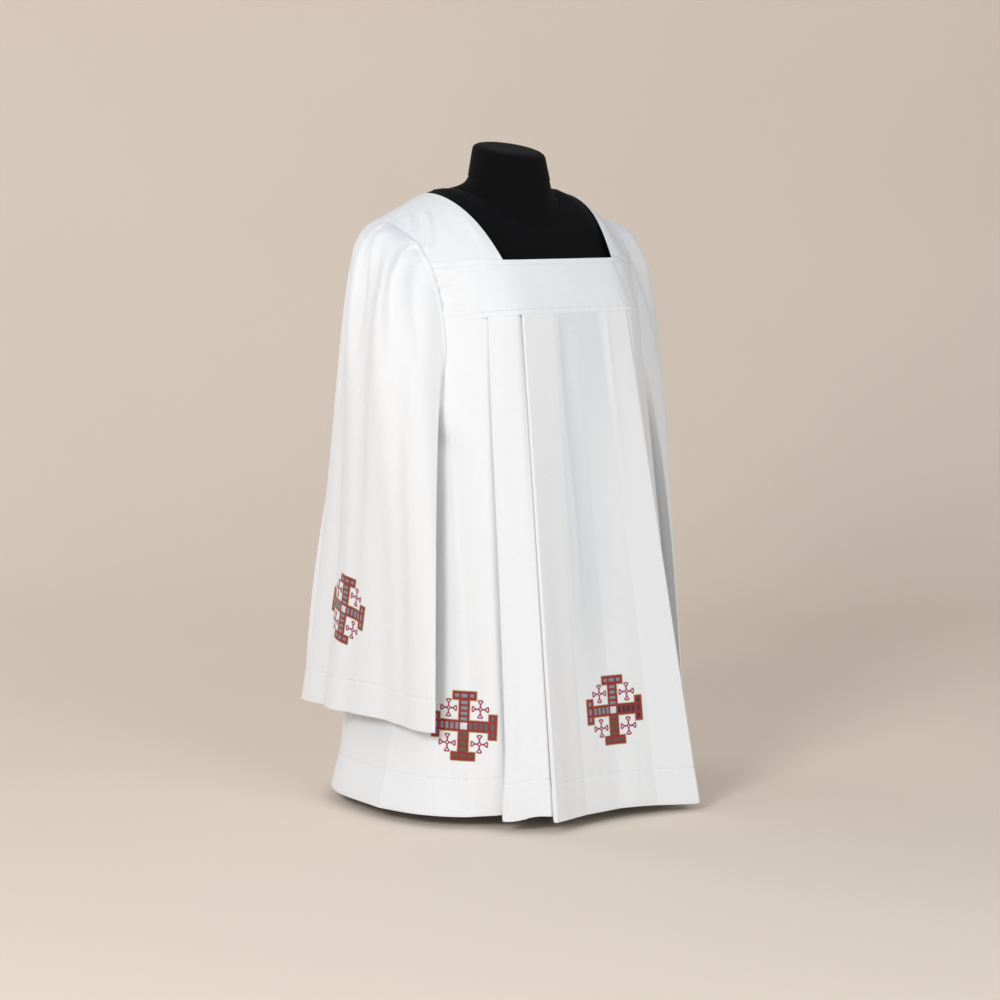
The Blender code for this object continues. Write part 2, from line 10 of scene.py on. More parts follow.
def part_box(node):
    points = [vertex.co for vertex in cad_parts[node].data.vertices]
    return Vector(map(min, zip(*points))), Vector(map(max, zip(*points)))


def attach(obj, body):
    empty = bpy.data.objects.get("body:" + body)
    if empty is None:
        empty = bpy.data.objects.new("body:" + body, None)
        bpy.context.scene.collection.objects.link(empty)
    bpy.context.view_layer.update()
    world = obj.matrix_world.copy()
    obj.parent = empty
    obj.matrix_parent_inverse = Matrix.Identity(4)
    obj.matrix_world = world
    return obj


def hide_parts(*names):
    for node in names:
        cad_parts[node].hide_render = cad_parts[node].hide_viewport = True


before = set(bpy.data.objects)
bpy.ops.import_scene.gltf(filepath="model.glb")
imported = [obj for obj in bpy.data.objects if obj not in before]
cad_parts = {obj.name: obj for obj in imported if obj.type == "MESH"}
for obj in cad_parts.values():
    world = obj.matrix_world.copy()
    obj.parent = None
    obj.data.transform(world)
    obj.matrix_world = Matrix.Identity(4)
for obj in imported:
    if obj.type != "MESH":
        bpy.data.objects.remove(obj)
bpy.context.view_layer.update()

stand_low, stand_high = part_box("stand_base")
AXIS = np.array([(stand_low.x + stand_high.x) / 2, (stand_low.y + stand_high.y) / 2, 0.0])

# Sizes of the garment, as in the part's own source.
SEAM = 0.0003
FORM_CLEAR = 0.0030
PLEAT_STEP = 0.0024
HEM_Z = 0.016
CUFF_Z = 0.142
NECK_HALF = 0.099
SHOULDER_NECK_X, SHOULDER_TIP_X = 0.120, 0.200
RIDGE_NECK, RIDGE_TIP = 0.8710, 0.8330
FALL_NECK, FALL_TIP, FALL_CHEST, FALL_BACK_MORE = 4.45, 8.5, 4.8, 0.6
CREST_NECK_Y, CREST_TIP_Y = 0.010, 0.020
NECK_ROOT_X = 0.098
BLEND = 0.22
SeamPlace = namedtuple("SeamPlace", "name out y z turn puff drop lap")
ARMHOLE = [SeamPlace(*row) for row in (
    ("crest", 0.2000, 0.020, 0.8330, 0.0, 0.105, 0.048, 0.3),
    ("front_1", 0.1975, -0.015, 0.8260, -20.0, 0.115, 0.000, 0.4),
    ("front_2", 0.1900, -0.050, 0.8070, -42.0, 0.109, 0.000, 0.6),
    ("band_top", 0.1815, -0.074, 0.7760, -60.0, 0.079, 0.033, 0.9),
    ("front_4", 0.1765, -0.090, 0.7350, -74.0, 0.057, 0.018, 1.0),
    ("band_end", 0.1750, -0.099, 0.6920, -88.0, 0.031, 0.028, 1.0),
    ("front_5", 0.1780, -0.104, 0.6380, -104.0, 0.020, 0.034, 1.1),
    ("front_6", 0.1880, -0.084, 0.5720, -130.0, 0.020, 0.070, 1.3),
    ("underarm", 0.1990, 0.000, 0.5300, -180.0, 0.016, 0.120, 1.5),
    ("back_6", 0.1880, 0.080, 0.5720, -230.0, 0.016, 0.070, 1.3),
    ("back_5", 0.1770, 0.099, 0.6380, -256.0, 0.022, 0.032, 1.1),
    ("back_end", 0.1740, 0.104, 0.7000, -272.0, 0.030, 0.026, 1.0),
    ("back_4", 0.1770, 0.099, 0.7520, -286.0, 0.034, 0.022, 0.9),
    ("back_top", 0.1840, 0.083, 0.7990, -303.0, 0.042, 0.018, 0.7),
    ("back_1", 0.1940, 0.055, 0.8240, -332.0, 0.060, 0.012, 0.5),
)]
CUFF_FRONT_X, CUFF_BACK_X = 0.2330, 0.2400
CUFF_BOW, CUFF_HALF_THICK = 0.0110, 0.0095
CUFF_REACH = {"right": (-0.152, 0.164), "left": (-0.141, 0.160)}
CUFF_DROP = {"right": 0.0, "left": 0.004}
CUFF_BACK_DROP = 0.006
HEAD_TURN, HANG_SHARE = 0.10, 0.42
OUTER_HANG_SHARE, SLANT_FRONT, SLANT_REAR = 0.55, 0.275, 0.560
Trough = namedtuple("Trough", "name y_high y_low width depth_high depth_low")
SLEEVE_TROUGHS = [Trough(*row) for row in (
    ("middle", -0.030, 0.030, 0.016, 0.012, 0.003),
    ("front", -0.078, -0.094, 0.013, 0.008, 0.003),
    ("rear", 0.045, 0.100, 0.016, 0.007, 0.004),
)]
OUTER_FACE_SPREAD = 1.6
FOLD_START_Z, FOLD_FULL_Z, FOLD_EASE = 0.825, 0.740, 0.12
BAND_EDGE = {
    "front": ((0.000, -0.1730, 0.7060), (0.050, -0.1727, 0.7060), (0.094, -0.1705, 0.7055),
              (0.120, -0.1600, 0.7040), (0.142, -0.1430, 0.7010), (0.160, -0.1210, 0.6970)),
    "back": ((0.000, 0.1300, 0.7200), (0.050, 0.1300, 0.7200), (0.094, 0.1290, 0.7190),
             (0.125, 0.1250, 0.7150), (0.150, 0.1170, 0.7090), (0.165, 0.1100, 0.7040)),
}
BAND_TOP = {
    "front": ((0.000, -0.1420, 0.7800), (0.050, -0.1400, 0.7800), (0.099, -0.1330, 0.7800),
              (0.130, -0.1180, 0.7815), (0.158, -0.0980, 0.7770)),
    "back": ((0.000, 0.1230, 0.8200), (0.050, 0.1220, 0.8200), (0.099, 0.1180, 0.8190),
             (0.130, 0.1080, 0.8145), (0.160, 0.0970, 0.8060)),
}
NECK_CORNER = 2
FoldEdge = namedtuple("FoldEdge", "name top_x top_y hem_x hem_y")
PLEATS = {
    "front": [FoldEdge(*row) for row in (
        ("fold_2", 0.0940, -0.1700, 0.1270, -0.2880),
        ("under_2", 0.0400, -0.1676, 0.0660, -0.2640),
        ("fold_1", 0.1360, -0.1440, 0.1790, -0.2390),
        ("under_1", 0.0980, -0.1600, 0.1120, -0.2240),
    )],
    "back": [FoldEdge(*row) for row in (
        ("fold_2", 0.0940, 0.1285, 0.1240, 0.1930),
        ("under_2", 0.0420, 0.1261, 0.0680, 0.1740),
        ("fold_1", 0.1400, 0.1170, 0.1720, 0.1640),
        ("under_1", 0.0985, 0.1215, 0.1160, 0.1530),
    )],
}
MIDDLE_PANEL = {
    "front": [FoldEdge(*row) for row in (
        ("centre", 0.000, -0.1730, 0.000, -0.2720),
        ("half_way", 0.048, -0.1728, 0.064, -0.2780),
    )],
    "back": [FoldEdge(*row) for row in (
        ("centre", 0.000, 0.1300, 0.000, 0.1830),
        ("half_way", 0.048, 0.1300, 0.062, 0.1860),
    )],
}
SideThread = namedtuple("SideThread", "start hem_x hem_y press")
SIDE_PANEL = {
    "front": [SideThread(*row) for row in (
        (4.40, 0.150, -0.2130, 0.000),
        (6.00, 0.188, -0.1960, 0.004),
        (7.00, 0.222, -0.1640, 0.013),
        (8.00, 0.248, -0.1200, 0.018),
        (9.00, 0.263, -0.0600, 0.021),
    )],
    "back": [SideThread(*row) for row in (
        (4.40, 0.148, 0.1500, 0.002),
        (6.00, 0.184, 0.1440, 0.008),
        (7.00, 0.215, 0.1240, 0.014),
        (8.00, 0.252, 0.0560, 0.019),
        (9.00, 0.263, -0.0600, 0.021),
    )],
}
PRESS_DOWN = (
    (0.00, 0.00), (0.06, 0.22), (0.30, 0.60), (0.60, 0.95), (0.76, 1.00), (0.88, 0.62), (1.00, 0.00))
INWARDS = {"front": 1.0, "back": -1.0}   # the way along y from the cloth to the body
HEM_LEAN, LEAN_FADES_FROM, LEAN_FADES_OVER = 0.050, 0.13, 0.10

# The fine cloth: its own thickness, the turned hems, and how finely it is drawn.
CLOTH = 0.0008
HEM_THICK = 0.0015
SKIRT_HEM, SLEEVE_HEM = 0.0505, 0.0460
PANEL_STEP = 0.0032      # from column to column of a flat panel
TURN_POINTS = 7          # points round a pressed fold
SIDE_STEP = 0.05         # places of the side panel from column to column
SLEEVE_COLUMNS = 270
SKIRT_UPPER_ROWS = 80
SLEEVE_UPPER_ROWS = 112
# Heights above a hem's lower edge, as shares of the hem's own height, drawn close at its stitching.
HEM_ROWS = (1.14, 1.08, 1.05, 1.032, 1.016, 1.0, 0.984, 0.968, 0.94, 0.88, 0.78, 0.66, 0.54, 0.42,
            0.30, 0.20, 0.12, 0.06, 0.02, 0.0)
GROOVE_DEPTH, GROOVE_WIDTH = 0.0005, 0.0011
TURNING_EASE, HEM_STANDS = 0.0020, 0.00035   # the step from single cloth to the turned hem
PUCKER_REACH = 0.011
EDGE_ROUND, EDGE_IN = 0.0022, 0.0006


def smooth(share):
    share = np.clip(share, 0.0, 1.0)
    return share * share * (3.0 - 2.0 * share)


def between(a, b, share):
    return tuple(p + (q - p) * share for p, q in zip(a, b))


def curve_at(points, place, cyclic=False):
    """A smooth curve through the points; place 1.5 is half way from point 1 to point 2."""
    count = len(points)
    if cyclic:
        start = math.floor(place)
        share = place - start
        p = [points[(start + k) % count] for k in (-1, 0, 1, 2)]
    else:
        start = min(max(math.floor(place), 0), count - 2)
        share = place - start
        p = [points[min(max(start + k, 0), count - 1)] for k in (-1, 0, 1, 2)]
        if start == 0:
            p[0] = tuple(2 * a - b for a, b in zip(p[1], p[2]))
        if start == count - 2:
            p[3] = tuple(2 * b - a for a, b in zip(p[1], p[2]))
    s2, s3 = share * share, share * share * share
    return tuple(
        0.5 * (2 * b + (c - a) * share + (2 * a - 5 * b + 4 * c - d) * s2 + (3 * b - a - 3 * c + d) * s3)
        for a, b, c, d in zip(*p)
    )


def shoulder_height(x, y):
    """Height of the cloth's middle over the shoulders, at one place in plan."""
    out = abs(x)
    share = (out - SHOULDER_NECK_X) / (SHOULDER_TIP_X - SHOULDER_NECK_X)
    root = (NECK_ROOT_X - SHOULDER_NECK_X) / (SHOULDER_TIP_X - SHOULDER_NECK_X)
    ridge = RIDGE_NECK + (RIDGE_TIP - RIDGE_NECK) * max(share, root)
    fall = FALL_NECK + (FALL_TIP - FALL_NECK) * max(share, 0.0)
    chest = (SHOULDER_NECK_X - out) / (SHOULDER_NECK_X - NECK_HALF)
    fall += (FALL_CHEST - FALL_NECK) * float(smooth(chest))
    crest = CREST_NECK_Y + (CREST_TIP_Y - CREST_NECK_Y) * max(share, 0.0)
    fall += FALL_BACK_MORE if y > crest else 0.0
    return ridge - fall * (y - crest) ** 2


def armhole_rows(kind):
    return [tuple(getattr(row, name) for name in kind) for row in ARMHOLE]


def armhole_place(name):
    return [row.name for row in ARMHOLE].index(name)


def armhole_point(place):
    return curve_at(armhole_rows(("out", "y", "z")), place, cyclic=True)


# Creases
# A crease is a line laid on the cloth, in two of its own directions. It sinks (or
# stands up, with a minus) by its depth, more or less at its two ends, and fades over each end.
Crease = namedtuple("Crease", "path width depth fade")


def creases(*rows):
    """Rows as (path, widths at both ends, depths at both ends, fades at both ends).

    The path runs in millimetres, widths and depths are in tenths of one, and the fades are
    hundredths of the path's length.
    """
    made = []
    for path, *ends in rows:
        places = tuple((path[k] / 1000, path[k + 1] / 1000) for k in range(0, len(path), 2))
        sizes = [value / 10000 for value in ends[:4]]
        made.append(Crease(places, sizes[:2], sizes[2:], [value / 100 for value in ends[4:]]))
    return made


def bell(away, width):
    """One at no distance, and soon nothing past the width."""
    return np.exp(-(away / width) ** 2)


def crease_field(grid, creases, first, second):
    """How far out each point of the grid stands from its creases, laid along two of its directions."""
    places = np.stack([grid[..., first].ravel(), grid[..., second].ravel()], axis=1)
    total = np.zeros(len(places))
    for crease in creases:
        count = 4 * (len(crease.path) - 1) + 1
        path = np.array([curve_at(crease.path, 0.25 * k) for k in range(count)])
        nearest = np.full(len(places), 9.0)
        along = np.zeros(len(places))
        start = 0.0
        for a, b in zip(path, path[1:]):
            step = b - a
            size = np.linalg.norm(step)
            share = np.clip((places - a) @ step / (size * size), 0.0, 1.0)
            away = np.linalg.norm(places - a - share[:, None] * step, axis=1)
            closer = away < nearest
            nearest[closer] = away[closer]
            along[closer] = (start + share * size)[closer]
            start += size
        along /= start
        width = crease.width[0] + (crease.width[1] - crease.width[0]) * along
        depth = crease.depth[0] + (crease.depth[1] - crease.depth[0]) * along
        ends = smooth(along / max(crease.fade[0], 1e-6)) * smooth((1 - along) / max(crease.fade[1], 1e-6))
        total -= depth * ends * bell(nearest, width)
    return total.reshape(grid.shape[:2])


# Sleeve creases by (y, z) on the outer face.
SLEEVE_CREASES = {
    "right": creases(
        ((-2, 831, -11, 788, -13, 735, -8, 690, 0, 600), 46, 85, 110, 75, 5, 50),
        ((10, 822, 4, 780, 4, 730, 10, 660, 18, 560), 80, 150, -50, -26, 8, 50),
        ((24, 818, 21, 780, 26, 740, 34, 690), 42, 80, 60, 30, 8, 50),
        ((-24, 818, -36, 782, -46, 750, -54, 715), 90, 120, 42, 30, 12, 30),
        ((-56, 809, -60, 778, -62, 742, -68, 690, -74, 600), 40, 82, 100, 65, 6, 50),
        ((-68, 786, -74, 757, -82, 720, -98, 667, -110, 590), 44, 82, 66, 40, 8, 40),
        ((-48, 800, -50, 740, -52, 660, -50, 520), 60, 130, -40, -24, 12, 50),
        ((60, 806, 66, 740, 78, 640, 92, 480), 60, 130, 70, 40, 8, 40),
        ((40, 812, 44, 760, 52, 680), 70, 110, -34, -20, 12, 40),
        ((-52, 520, -54, 400, -56, 280, -58, 130), 240, 300, 40, 70, 35, 0),
        ((0, 500, 12, 390, 28, 290, 56, 130), 240, 280, -36, -52, 30, 0),
        ((68, 480, 80, 360, 94, 260, 116, 130), 200, 280, 24, 44, 30, 0),
        ((-122, 460, -118, 340, -122, 240, -126, 130), 180, 220, -12, -30, 40, 0),
    ),
    "left": creases(
        ((4, 828, -6, 785, -10, 730, -3, 640), 50, 100, 80, 50, 6, 50),
        ((-40, 808, -52, 776, -60, 730, -70, 610), 50, 100, 75, 45, 8, 50),
        ((-68, 786, -80, 740, -94, 680, -108, 590), 50, 100, 60, 30, 10, 40),
        ((-22, 800, -28, 750, -30, 660), 80, 150, -30, -15, 15, 50),
        ((50, 806, 62, 740, 70, 630, 88, 500), 60, 130, 45, 20, 8, 40),
        ((28, 812, 32, 750, 30, 660), 70, 120, -25, -15, 15, 40),
        ((-20, 440, -10, 330, 4, 140), 220, 260, -40, -30, 35, 0),
        ((36, 480, 50, 330, 68, 140), 150, 180, 30, 35, 35, 0),
        ((-100, 460, -98, 320, -104, 140), 150, 200, 20, 30, 40, 0),
    ),
}
# Skirt creases by (x, z) seen from the front or back.
SKIRT_CREASES = {
    "front": creases(
        ((-34, 700, -37, 560, -34, 440, -37, 340, -44, 200), 30, 50, -7, -8, 2, 40),
        ((-22, 700, -20, 540, -12, 330, -10, 120), 120, 260, 14, 12, 5, 30),
        ((54, 700, 55, 600, 60, 480), 40, 60, -8, -6, 2, 50),
        ((66, 640, 78, 450, 88, 300), 160, 220, 8, 8, 30, 60),
        ((20, 420, 30, 250, 34, 20), 200, 300, -8, -12, 40, 0),
        ((-70, 560, -80, 380, -86, 200, -88, 20), 140, 230, 6, 14, 30, 0),
        ((-116, 640, -126, 420, -138, 200, -142, 20), 80, 140, 4, 20, 30, 0),
        ((-196, 450, -208, 300, -212, 120, -210, 20), 130, 170, 20, 40, 40, 0),
        ((-190, 610, -178, 560, -162, 524, -150, 500), 70, 100, -50, -10, 20, 60),
        ((-196, 560, -184, 520, -172, 490), 60, 100, 60, 20, 20, 60),
        ((178, 560, 170, 600, 154, 625), 50, 80, 30, 5, 5, 50),
        ((182, 525, 170, 550, 156, 562), 50, 80, -25, -5, 5, 50),
        ((190, 470, 204, 300, 214, 130, 216, 20), 140, 200, 15, 40, 40, 0),
        ((150, 420, 160, 250, 166, 20), 90, 130, 6, 22, 40, 0),
    ),
    "back": creases(
        ((-20, 700, -14, 500, -22, 260, -30, 20), 160, 260, 10, 35, 10, 0),
        ((30, 640, 36, 420, 28, 200, 34, 20), 180, 240, -8, -30, 20, 0),
        ((72, 560, 82, 330, 90, 20), 130, 180, 8, 30, 30, 0),
        ((-68, 500, -78, 300, -84, 20), 140, 200, 8, 28, 30, 0),
        ((120, 620, 128, 400, 138, 20), 80, 120, 4, 18, 30, 0),
        ((-118, 560, -130, 340, -136, 20), 80, 120, 4, 18, 30, 0),
        ((188, 470, 200, 280, 206, 20), 130, 190, 15, 40, 40, 0),
        ((-186, 500, -198, 300, -208, 20), 130, 190, 15, 45, 40, 0),
        ((176, 570, 164, 600, 148, 618), 50, 80, 30, 5, 5, 50),
        ((-178, 555, -168, 590, -150, 606), 50, 80, 30, 5, 5, 50),
    ),
}
# Yoke creases by (x, z): short puckers that run in from the armhole seams.
YOKE_CREASES = {
    "front": creases(
        ((-184, 752, -169, 756, -156, 761), 26, 34, 36, 8, 0, 60),
        ((-181, 765, -166, 768, -148, 770), 30, 50, -24, -6, 0, 60),
        ((-181, 737, -166, 742, -154, 746), 26, 34, 34, 8, 0, 60),
        ((-180, 745, -166, 749, -152, 753), 28, 40, -22, -5, 0, 60),
        ((-178, 716, -162, 725, -146, 733), 50, 70, 32, 8, 0, 60),
        ((-178, 703, -158, 711, -138, 716), 45, 80, -16, -4, 0, 60),
        ((184, 756, 170, 758, 158, 760), 28, 36, 20, 4, 0, 60),
        ((181, 742, 166, 742, 150, 744), 34, 46, -14, -4, 0, 60),
        ((180, 728, 164, 733, 148, 739), 36, 50, 20, 5, 0, 60),
        ((104, 776, 112, 744, 116, 708), 80, 100, 14, 10, 10, 10),
        ((-60, 772, -52, 742, -56, 712), 140, 160, 6, 5, 30, 30),
        ((34, 770, 40, 740, 36, 712), 130, 160, 6, 6, 30, 30),
    ),
    "back": creases(
        ((-184, 770, -168, 772, -150, 776), 32, 44, 20, 5, 0, 60),
        ((-180, 742, -166, 747, -146, 751), 36, 50, 22, 5, 0, 60),
        ((184, 778, 166, 778, 150, 782), 30, 44, 20, 5, 0, 60),
        ((180, 736, 162, 744, 144, 748), 38, 50, 20, 5, 0, 60),
        ((-50, 812, -44, 770, -50, 726), 160, 180, 6, 8, 30, 30),
        ((60, 812, 52, 764, 58, 726), 150, 180, 6, 8, 30, 30),
    ),
}
# Shoulder creases by (x, y) seen from above.
SHOULDER_CREASES = {
    "right": creases(
        ((-152, -64, -166, -73, -180, -80), 45, 45, 14, 30, 50, 0),
        ((-160, -18, -166, -33, -174, -46, -186, -56), 32, 36, 12, 32, 25, 0),
        ((-152, -24, -158, -40, -166, -54, -178, -66), 40, 50, -30, -30, 30, 0),
        ((-170, -10, -178, -26, -186, -40), 40, 50, -26, -26, 30, 0),
        ((-170, -14, -178, -30, -184, -38), 34, 34, 8, 12, 40, 10),
        ((-170, 8, -182, 0, -194, -8), 30, 34, 16, 26, 40, 0),
        ((-172, 34, -186, 30, -198, 22), 36, 40, 12, 24, 40, 0),
        ((-160, 62, -174, 66, -190, 66), 40, 46, 10, 24, 40, 0),
    ),
    "left": creases(
        ((150, -62, 164, -72, 180, -78), 44, 46, 12, 24, 50, 0),
        ((160, -28, 172, -42, 188, -52), 34, 36, 14, 28, 30, 0),
        ((166, 4, 180, -4, 196, -12), 34, 36, 10, 22, 40, 0),
        ((168, 40, 182, 38, 198, 30), 36, 40, 12, 24, 40, 0),
        ((156, 66, 172, 68, 190, 62), 40, 46, 10, 22, 40, 0),
    ),
}


def unit(vectors):
    return vectors / np.maximum(np.linalg.norm(vectors, axis=-1, keepdims=True), 1e-12)


def grid_normals(grid, around=False):
    """The unit normal at each point of a grid: rows run down the cloth, columns across it."""
    if around:
        across = np.roll(grid, -1, axis=1) - np.roll(grid, 1, axis=1)
    else:
        across = np.gradient(grid, axis=1)
    down = np.gradient(grid, axis=0)
    return unit(np.cross(unit(across), unit(down)))


def lengths_along(grid, axis):
    steps = np.linalg.norm(np.diff(grid, axis=axis), axis=2)
    start = np.zeros_like(np.take(steps, [0], axis=axis))
    return np.concatenate([start, np.cumsum(steps, axis=axis)], axis=axis)


Sheet = namedtuple("Sheet", "name grid normals across down tone around")


def mesh_piece(name, points, faces, finish, uvs=None, tones=None, sharp=None):
    mesh = bpy.data.meshes.new(name)
    mesh.from_pydata([tuple(p) for p in points + AXIS], [], faces)
    mesh.materials.append(finish)
    mesh.shade_smooth()
    if sharp is not None:
        mesh.set_sharp_from_angle(angle=math.radians(sharp))
    if uvs is not None:
        layer = mesh.uv_layers.new(name="cloth")
        corners = np.empty(len(mesh.loops), np.int32)
        mesh.loops.foreach_get("vertex_index", corners)
        layer.data.foreach_set("uv", np.asarray(uvs, np.float32)[corners].ravel())
    if tones is not None:
        layer = mesh.color_attributes.new("tone", "FLOAT_COLOR", "POINT")
        tones = np.asarray(tones, np.float32)
        colours = np.stack([tones, tones, tones, np.ones_like(tones)], axis=1)
        layer.data.foreach_set("color", colours.ravel())
    made = bpy.data.objects.new(name, mesh)
    bpy.context.scene.collection.objects.link(made)
    return made


def cloth_piece(sheet, thickness, finish):
    """A thin closed shell round the sheet: the outside stays on the grid's own side."""
    rows, columns = sheet.grid.shape[:2]
    outer = sheet.grid + sheet.normals * CLOTH / 2
    inner = outer - sheet.normals * thickness[..., None]
    points = np.concatenate([outer.reshape(-1, 3), inner.reshape(-1, 3)])
    count = rows * columns
    last = columns if sheet.around else columns - 1
    faces = []
    for r in range(rows - 1):
        for c in range(last):
            n = (c + 1) % columns
            a, b, d, e = r * columns + c, r * columns + n, (r + 1) * columns + n, (r + 1) * columns + c
            faces.append((a, e, d, b))
            faces.append((a + count, b + count, d + count, e + count))
    for r, turned in ((0, False), (rows - 1, True)):
        for c in range(last):
            a, b = r * columns + c, r * columns + (c + 1) % columns
            face = (a, b, b + count, a + count)
            faces.append(face[::-1] if turned else face)
    if not sheet.around:
        for c, turned in ((0, True), (columns - 1, False)):
            for r in range(rows - 1):
                a, b = r * columns + c, (r + 1) * columns + c
                face = (a, b, b + count, a + count)
                faces.append(face[::-1] if turned else face)
    if (grid_normals(sheet.grid, sheet.around) * sheet.normals).sum() > 0:
        faces = [face[::-1] for face in faces]
    uvs = np.stack([sheet.across.ravel(), sheet.down.ravel()], axis=1)
    tones = sheet.tone.ravel()
    return mesh_piece(
        sheet.name,
        points,
        faces,
        finish,
        uvs=np.concatenate([uvs, uvs]),
        tones=np.concatenate([tones, tones]),
        sharp=62,
    )


def made_sheet(name, grid, flip, around=False):
    """The sheet with its normals turned outwards and its own lengths across and down."""
    normals = grid_normals(grid, around) * (-1.0 if flip else 1.0)
    across = lengths_along(grid, 1)
    across = np.broadcast_to(across[-1:], across.shape)
    return Sheet(name, grid, normals, across, lengths_along(grid, 0), np.ones(grid.shape[:2]), around)


def facing(sheet, axis, sign):
    """The sheet with its normals turned so that they point along one axis on the whole."""
    if sheet.normals[..., axis].mean() * sign < 0:
        return sheet._replace(normals=-sheet.normals)
    return sheet


# Small waves that a row of stitches draws into a hem: size, wave length and offset.
PUCKERS = ((0.00022, 0.0173, 0.3), (0.00018, 0.0109, 1.7), (0.00012, 0.0068, 0.9))


def pucker(across):
    return sum(size * np.sin(2 * math.pi * across / wave + offset) for size, wave, offset in PUCKERS)


def hem_relief(height, across, hem):
    """How far out the cloth stands at a height above its hem's lower edge."""
    groove = bell(height - hem, GROOVE_WIDTH) * GROOVE_DEPTH
    below = smooth((hem - height) / TURNING_EASE) * HEM_STANDS
    waves = pucker(across) * bell(height - hem, PUCKER_REACH)
    edge = bell(height, EDGE_ROUND) * EDGE_IN
    return below - groove + waves - edge


def hem_thickness(height, hem):
    return CLOTH + (HEM_THICK - CLOTH) * smooth((hem + TURNING_EASE / 2 - height) / TURNING_EASE)


# Sleeves
FRONT_CORNER_DROP = 0.0090       # the fine hem hangs lower at the front of the sleeve
CORNER_REACH = 0.45      # and that drop ends at this share of the way to the back
HEAD_LAP = 0.0003        # how far the sleeve stands off the armhole line, where the seam is thickest
SEAM_RIDGE, RIDGE_AT, RIDGE_WIDTH = 0.0011, 0.0035, 0.0032   # turnings under the armhole seam
HEAD_GROOVE, HEAD_GROOVE_AT, HEAD_GROOVE_WIDTH = 0.0005, 0.0085, 0.0012
OUTER_FROM = 0.35        # cosine of the turn at which the sleeve's outer half begins
CREASE_EDGE, CREASE_START = 0.15, 0.03   # how the creases fade at the outer half's edges and at the head
ROW_CROWDING = 1.15      # rows lie closer at the head
LINE_PLACES = 160


def cuff_point(turn, side):
    front, back = CUFF_REACH[side]
    angle = math.radians(turn)
    far = (1.0 + math.sin(angle)) / 2
    end_x = CUFF_FRONT_X + (CUFF_BACK_X - CUFF_FRONT_X) * far
    return (
        end_x + CUFF_BOW * math.cos(angle) ** 2 + CUFF_HALF_THICK * math.cos(angle),
        front + (back - front) * far,
        CUFF_Z - CUFF_DROP[side] - CUFF_BACK_DROP * far
        - FRONT_CORNER_DROP * float(smooth(1.0 - far / CORNER_REACH)),
    )


def swung(head, near, far, foot, shares):
    """Places on the curve from head to foot that leaves towards near and comes in from far."""
    t = shares[:, None]
    s = 1.0 - t
    return s ** 3 * head + 3 * s * s * t * near + 3 * s * t * t * far + t ** 3 * foot


def sleeve_sheet(side):
    kinds = ("out", "y", "z", "puff", "drop", "lap")
    turns = [row.turn for row in ARMHOLE] + [-360.0]
    shares = np.linspace(0.0, 1.0, LINE_PLACES)
    columns, heights, angles = [], [], []
    for c in range(SLEEVE_COLUMNS):
        place = len(ARMHOLE) * c / SLEEVE_COLUMNS
        out, y, z, puff, drop, lap = curve_at(armhole_rows(kinds), place, cyclic=True)
        start = math.floor(place)
        turn = turns[start] + (turns[start + 1] - turns[start]) * (place - start)
        head = np.array((out + HEAD_LAP * lap, y, z))
        foot = np.array(cuff_point(turn, side))
        long = head[2] - foot[2]
        near = np.array((head[0] + puff, head[1] + HEAD_TURN * (foot[1] - head[1]), head[2] - drop))
        angle = math.radians(turn)
        outer = float(smooth((math.cos(angle) + OUTER_FROM) / OUTER_FROM))
        rear = float(smooth((1.0 + math.sin(angle)) / 2))
        slant = outer * (SLANT_FRONT + (SLANT_REAR - SLANT_FRONT) * rear)
        hang = HANG_SHARE + (OUTER_HANG_SHARE - HANG_SHARE) * outer
        far = np.array((foot[0], foot[1], foot[2] + hang * long))
        far[:2] -= slant * (foot[:2] - head[:2])
        above = swung(head, near, far, foot, shares)[:, 2] - foot[2]
        order = np.argsort(above)
        hem_shares = np.interp([SLEEVE_HEM * k for k in HEM_ROWS], above[order], shares[order])
        upper = hem_shares[0] * (np.arange(SLEEVE_UPPER_ROWS) / SLEEVE_UPPER_ROWS) ** ROW_CROWDING
        places = np.concatenate([upper, hem_shares])
        line = swung(head, near, far, foot, places)
        columns.append(np.concatenate([line, places[:, None]], axis=1))
        heights.append(line[:, 2] - foot[2])
        angles.append(turn)
    grid = np.stack(columns, axis=1)
    share = grid[..., 3]
    grid = grid[..., :3].copy()
    height = np.stack(heights, axis=1)
    angle = np.radians(np.array(angles))[None, :] + np.zeros_like(height)
    outer = smooth(np.cos(angle) * OUTER_FACE_SPREAD)
    started = smooth((FOLD_START_Z - grid[..., 2]) / (FOLD_START_Z - FOLD_FULL_Z))
    down = np.clip((FOLD_FULL_Z - grid[..., 2]) / (FOLD_FULL_Z - CUFF_Z), 0.0, 1.0)
    sunk = np.zeros_like(height)
    for trough in SLEEVE_TROUGHS:
        middle = trough.y_high + (trough.y_low - trough.y_high) * down
        depth = trough.depth_high + (trough.depth_low - trough.depth_high) * down
        sunk += depth * bell(grid[..., 1] - middle, trough.width)
    grid[..., 0] -= sunk * outer * started * smooth(share / FOLD_EASE)
    relief = crease_field(grid, SLEEVE_CREASES[side], 1, 2)
    relief *= smooth(np.cos(angle) * OUTER_FACE_SPREAD + CREASE_EDGE) * smooth(share / CREASE_START)
    out_way = np.stack([np.cos(angle), np.sin(angle), np.zeros_like(angle)], axis=2)
    across = lengths_along(grid, 1)[-1:]
    from_head = lengths_along(grid, 0)
    relief += SEAM_RIDGE * bell(from_head - RIDGE_AT, RIDGE_WIDTH)
    relief -= HEAD_GROOVE * bell(from_head - HEAD_GROOVE_AT, HEAD_GROOVE_WIDTH)
    relief = relief + hem_relief(height, across, SLEEVE_HEM)
    grid += out_way * relief[..., None]
    if side == "right":
        grid[..., 0] *= -1.0
    return made_sheet("cloth_sleeve_" + side, grid, side == "right", around=True), height


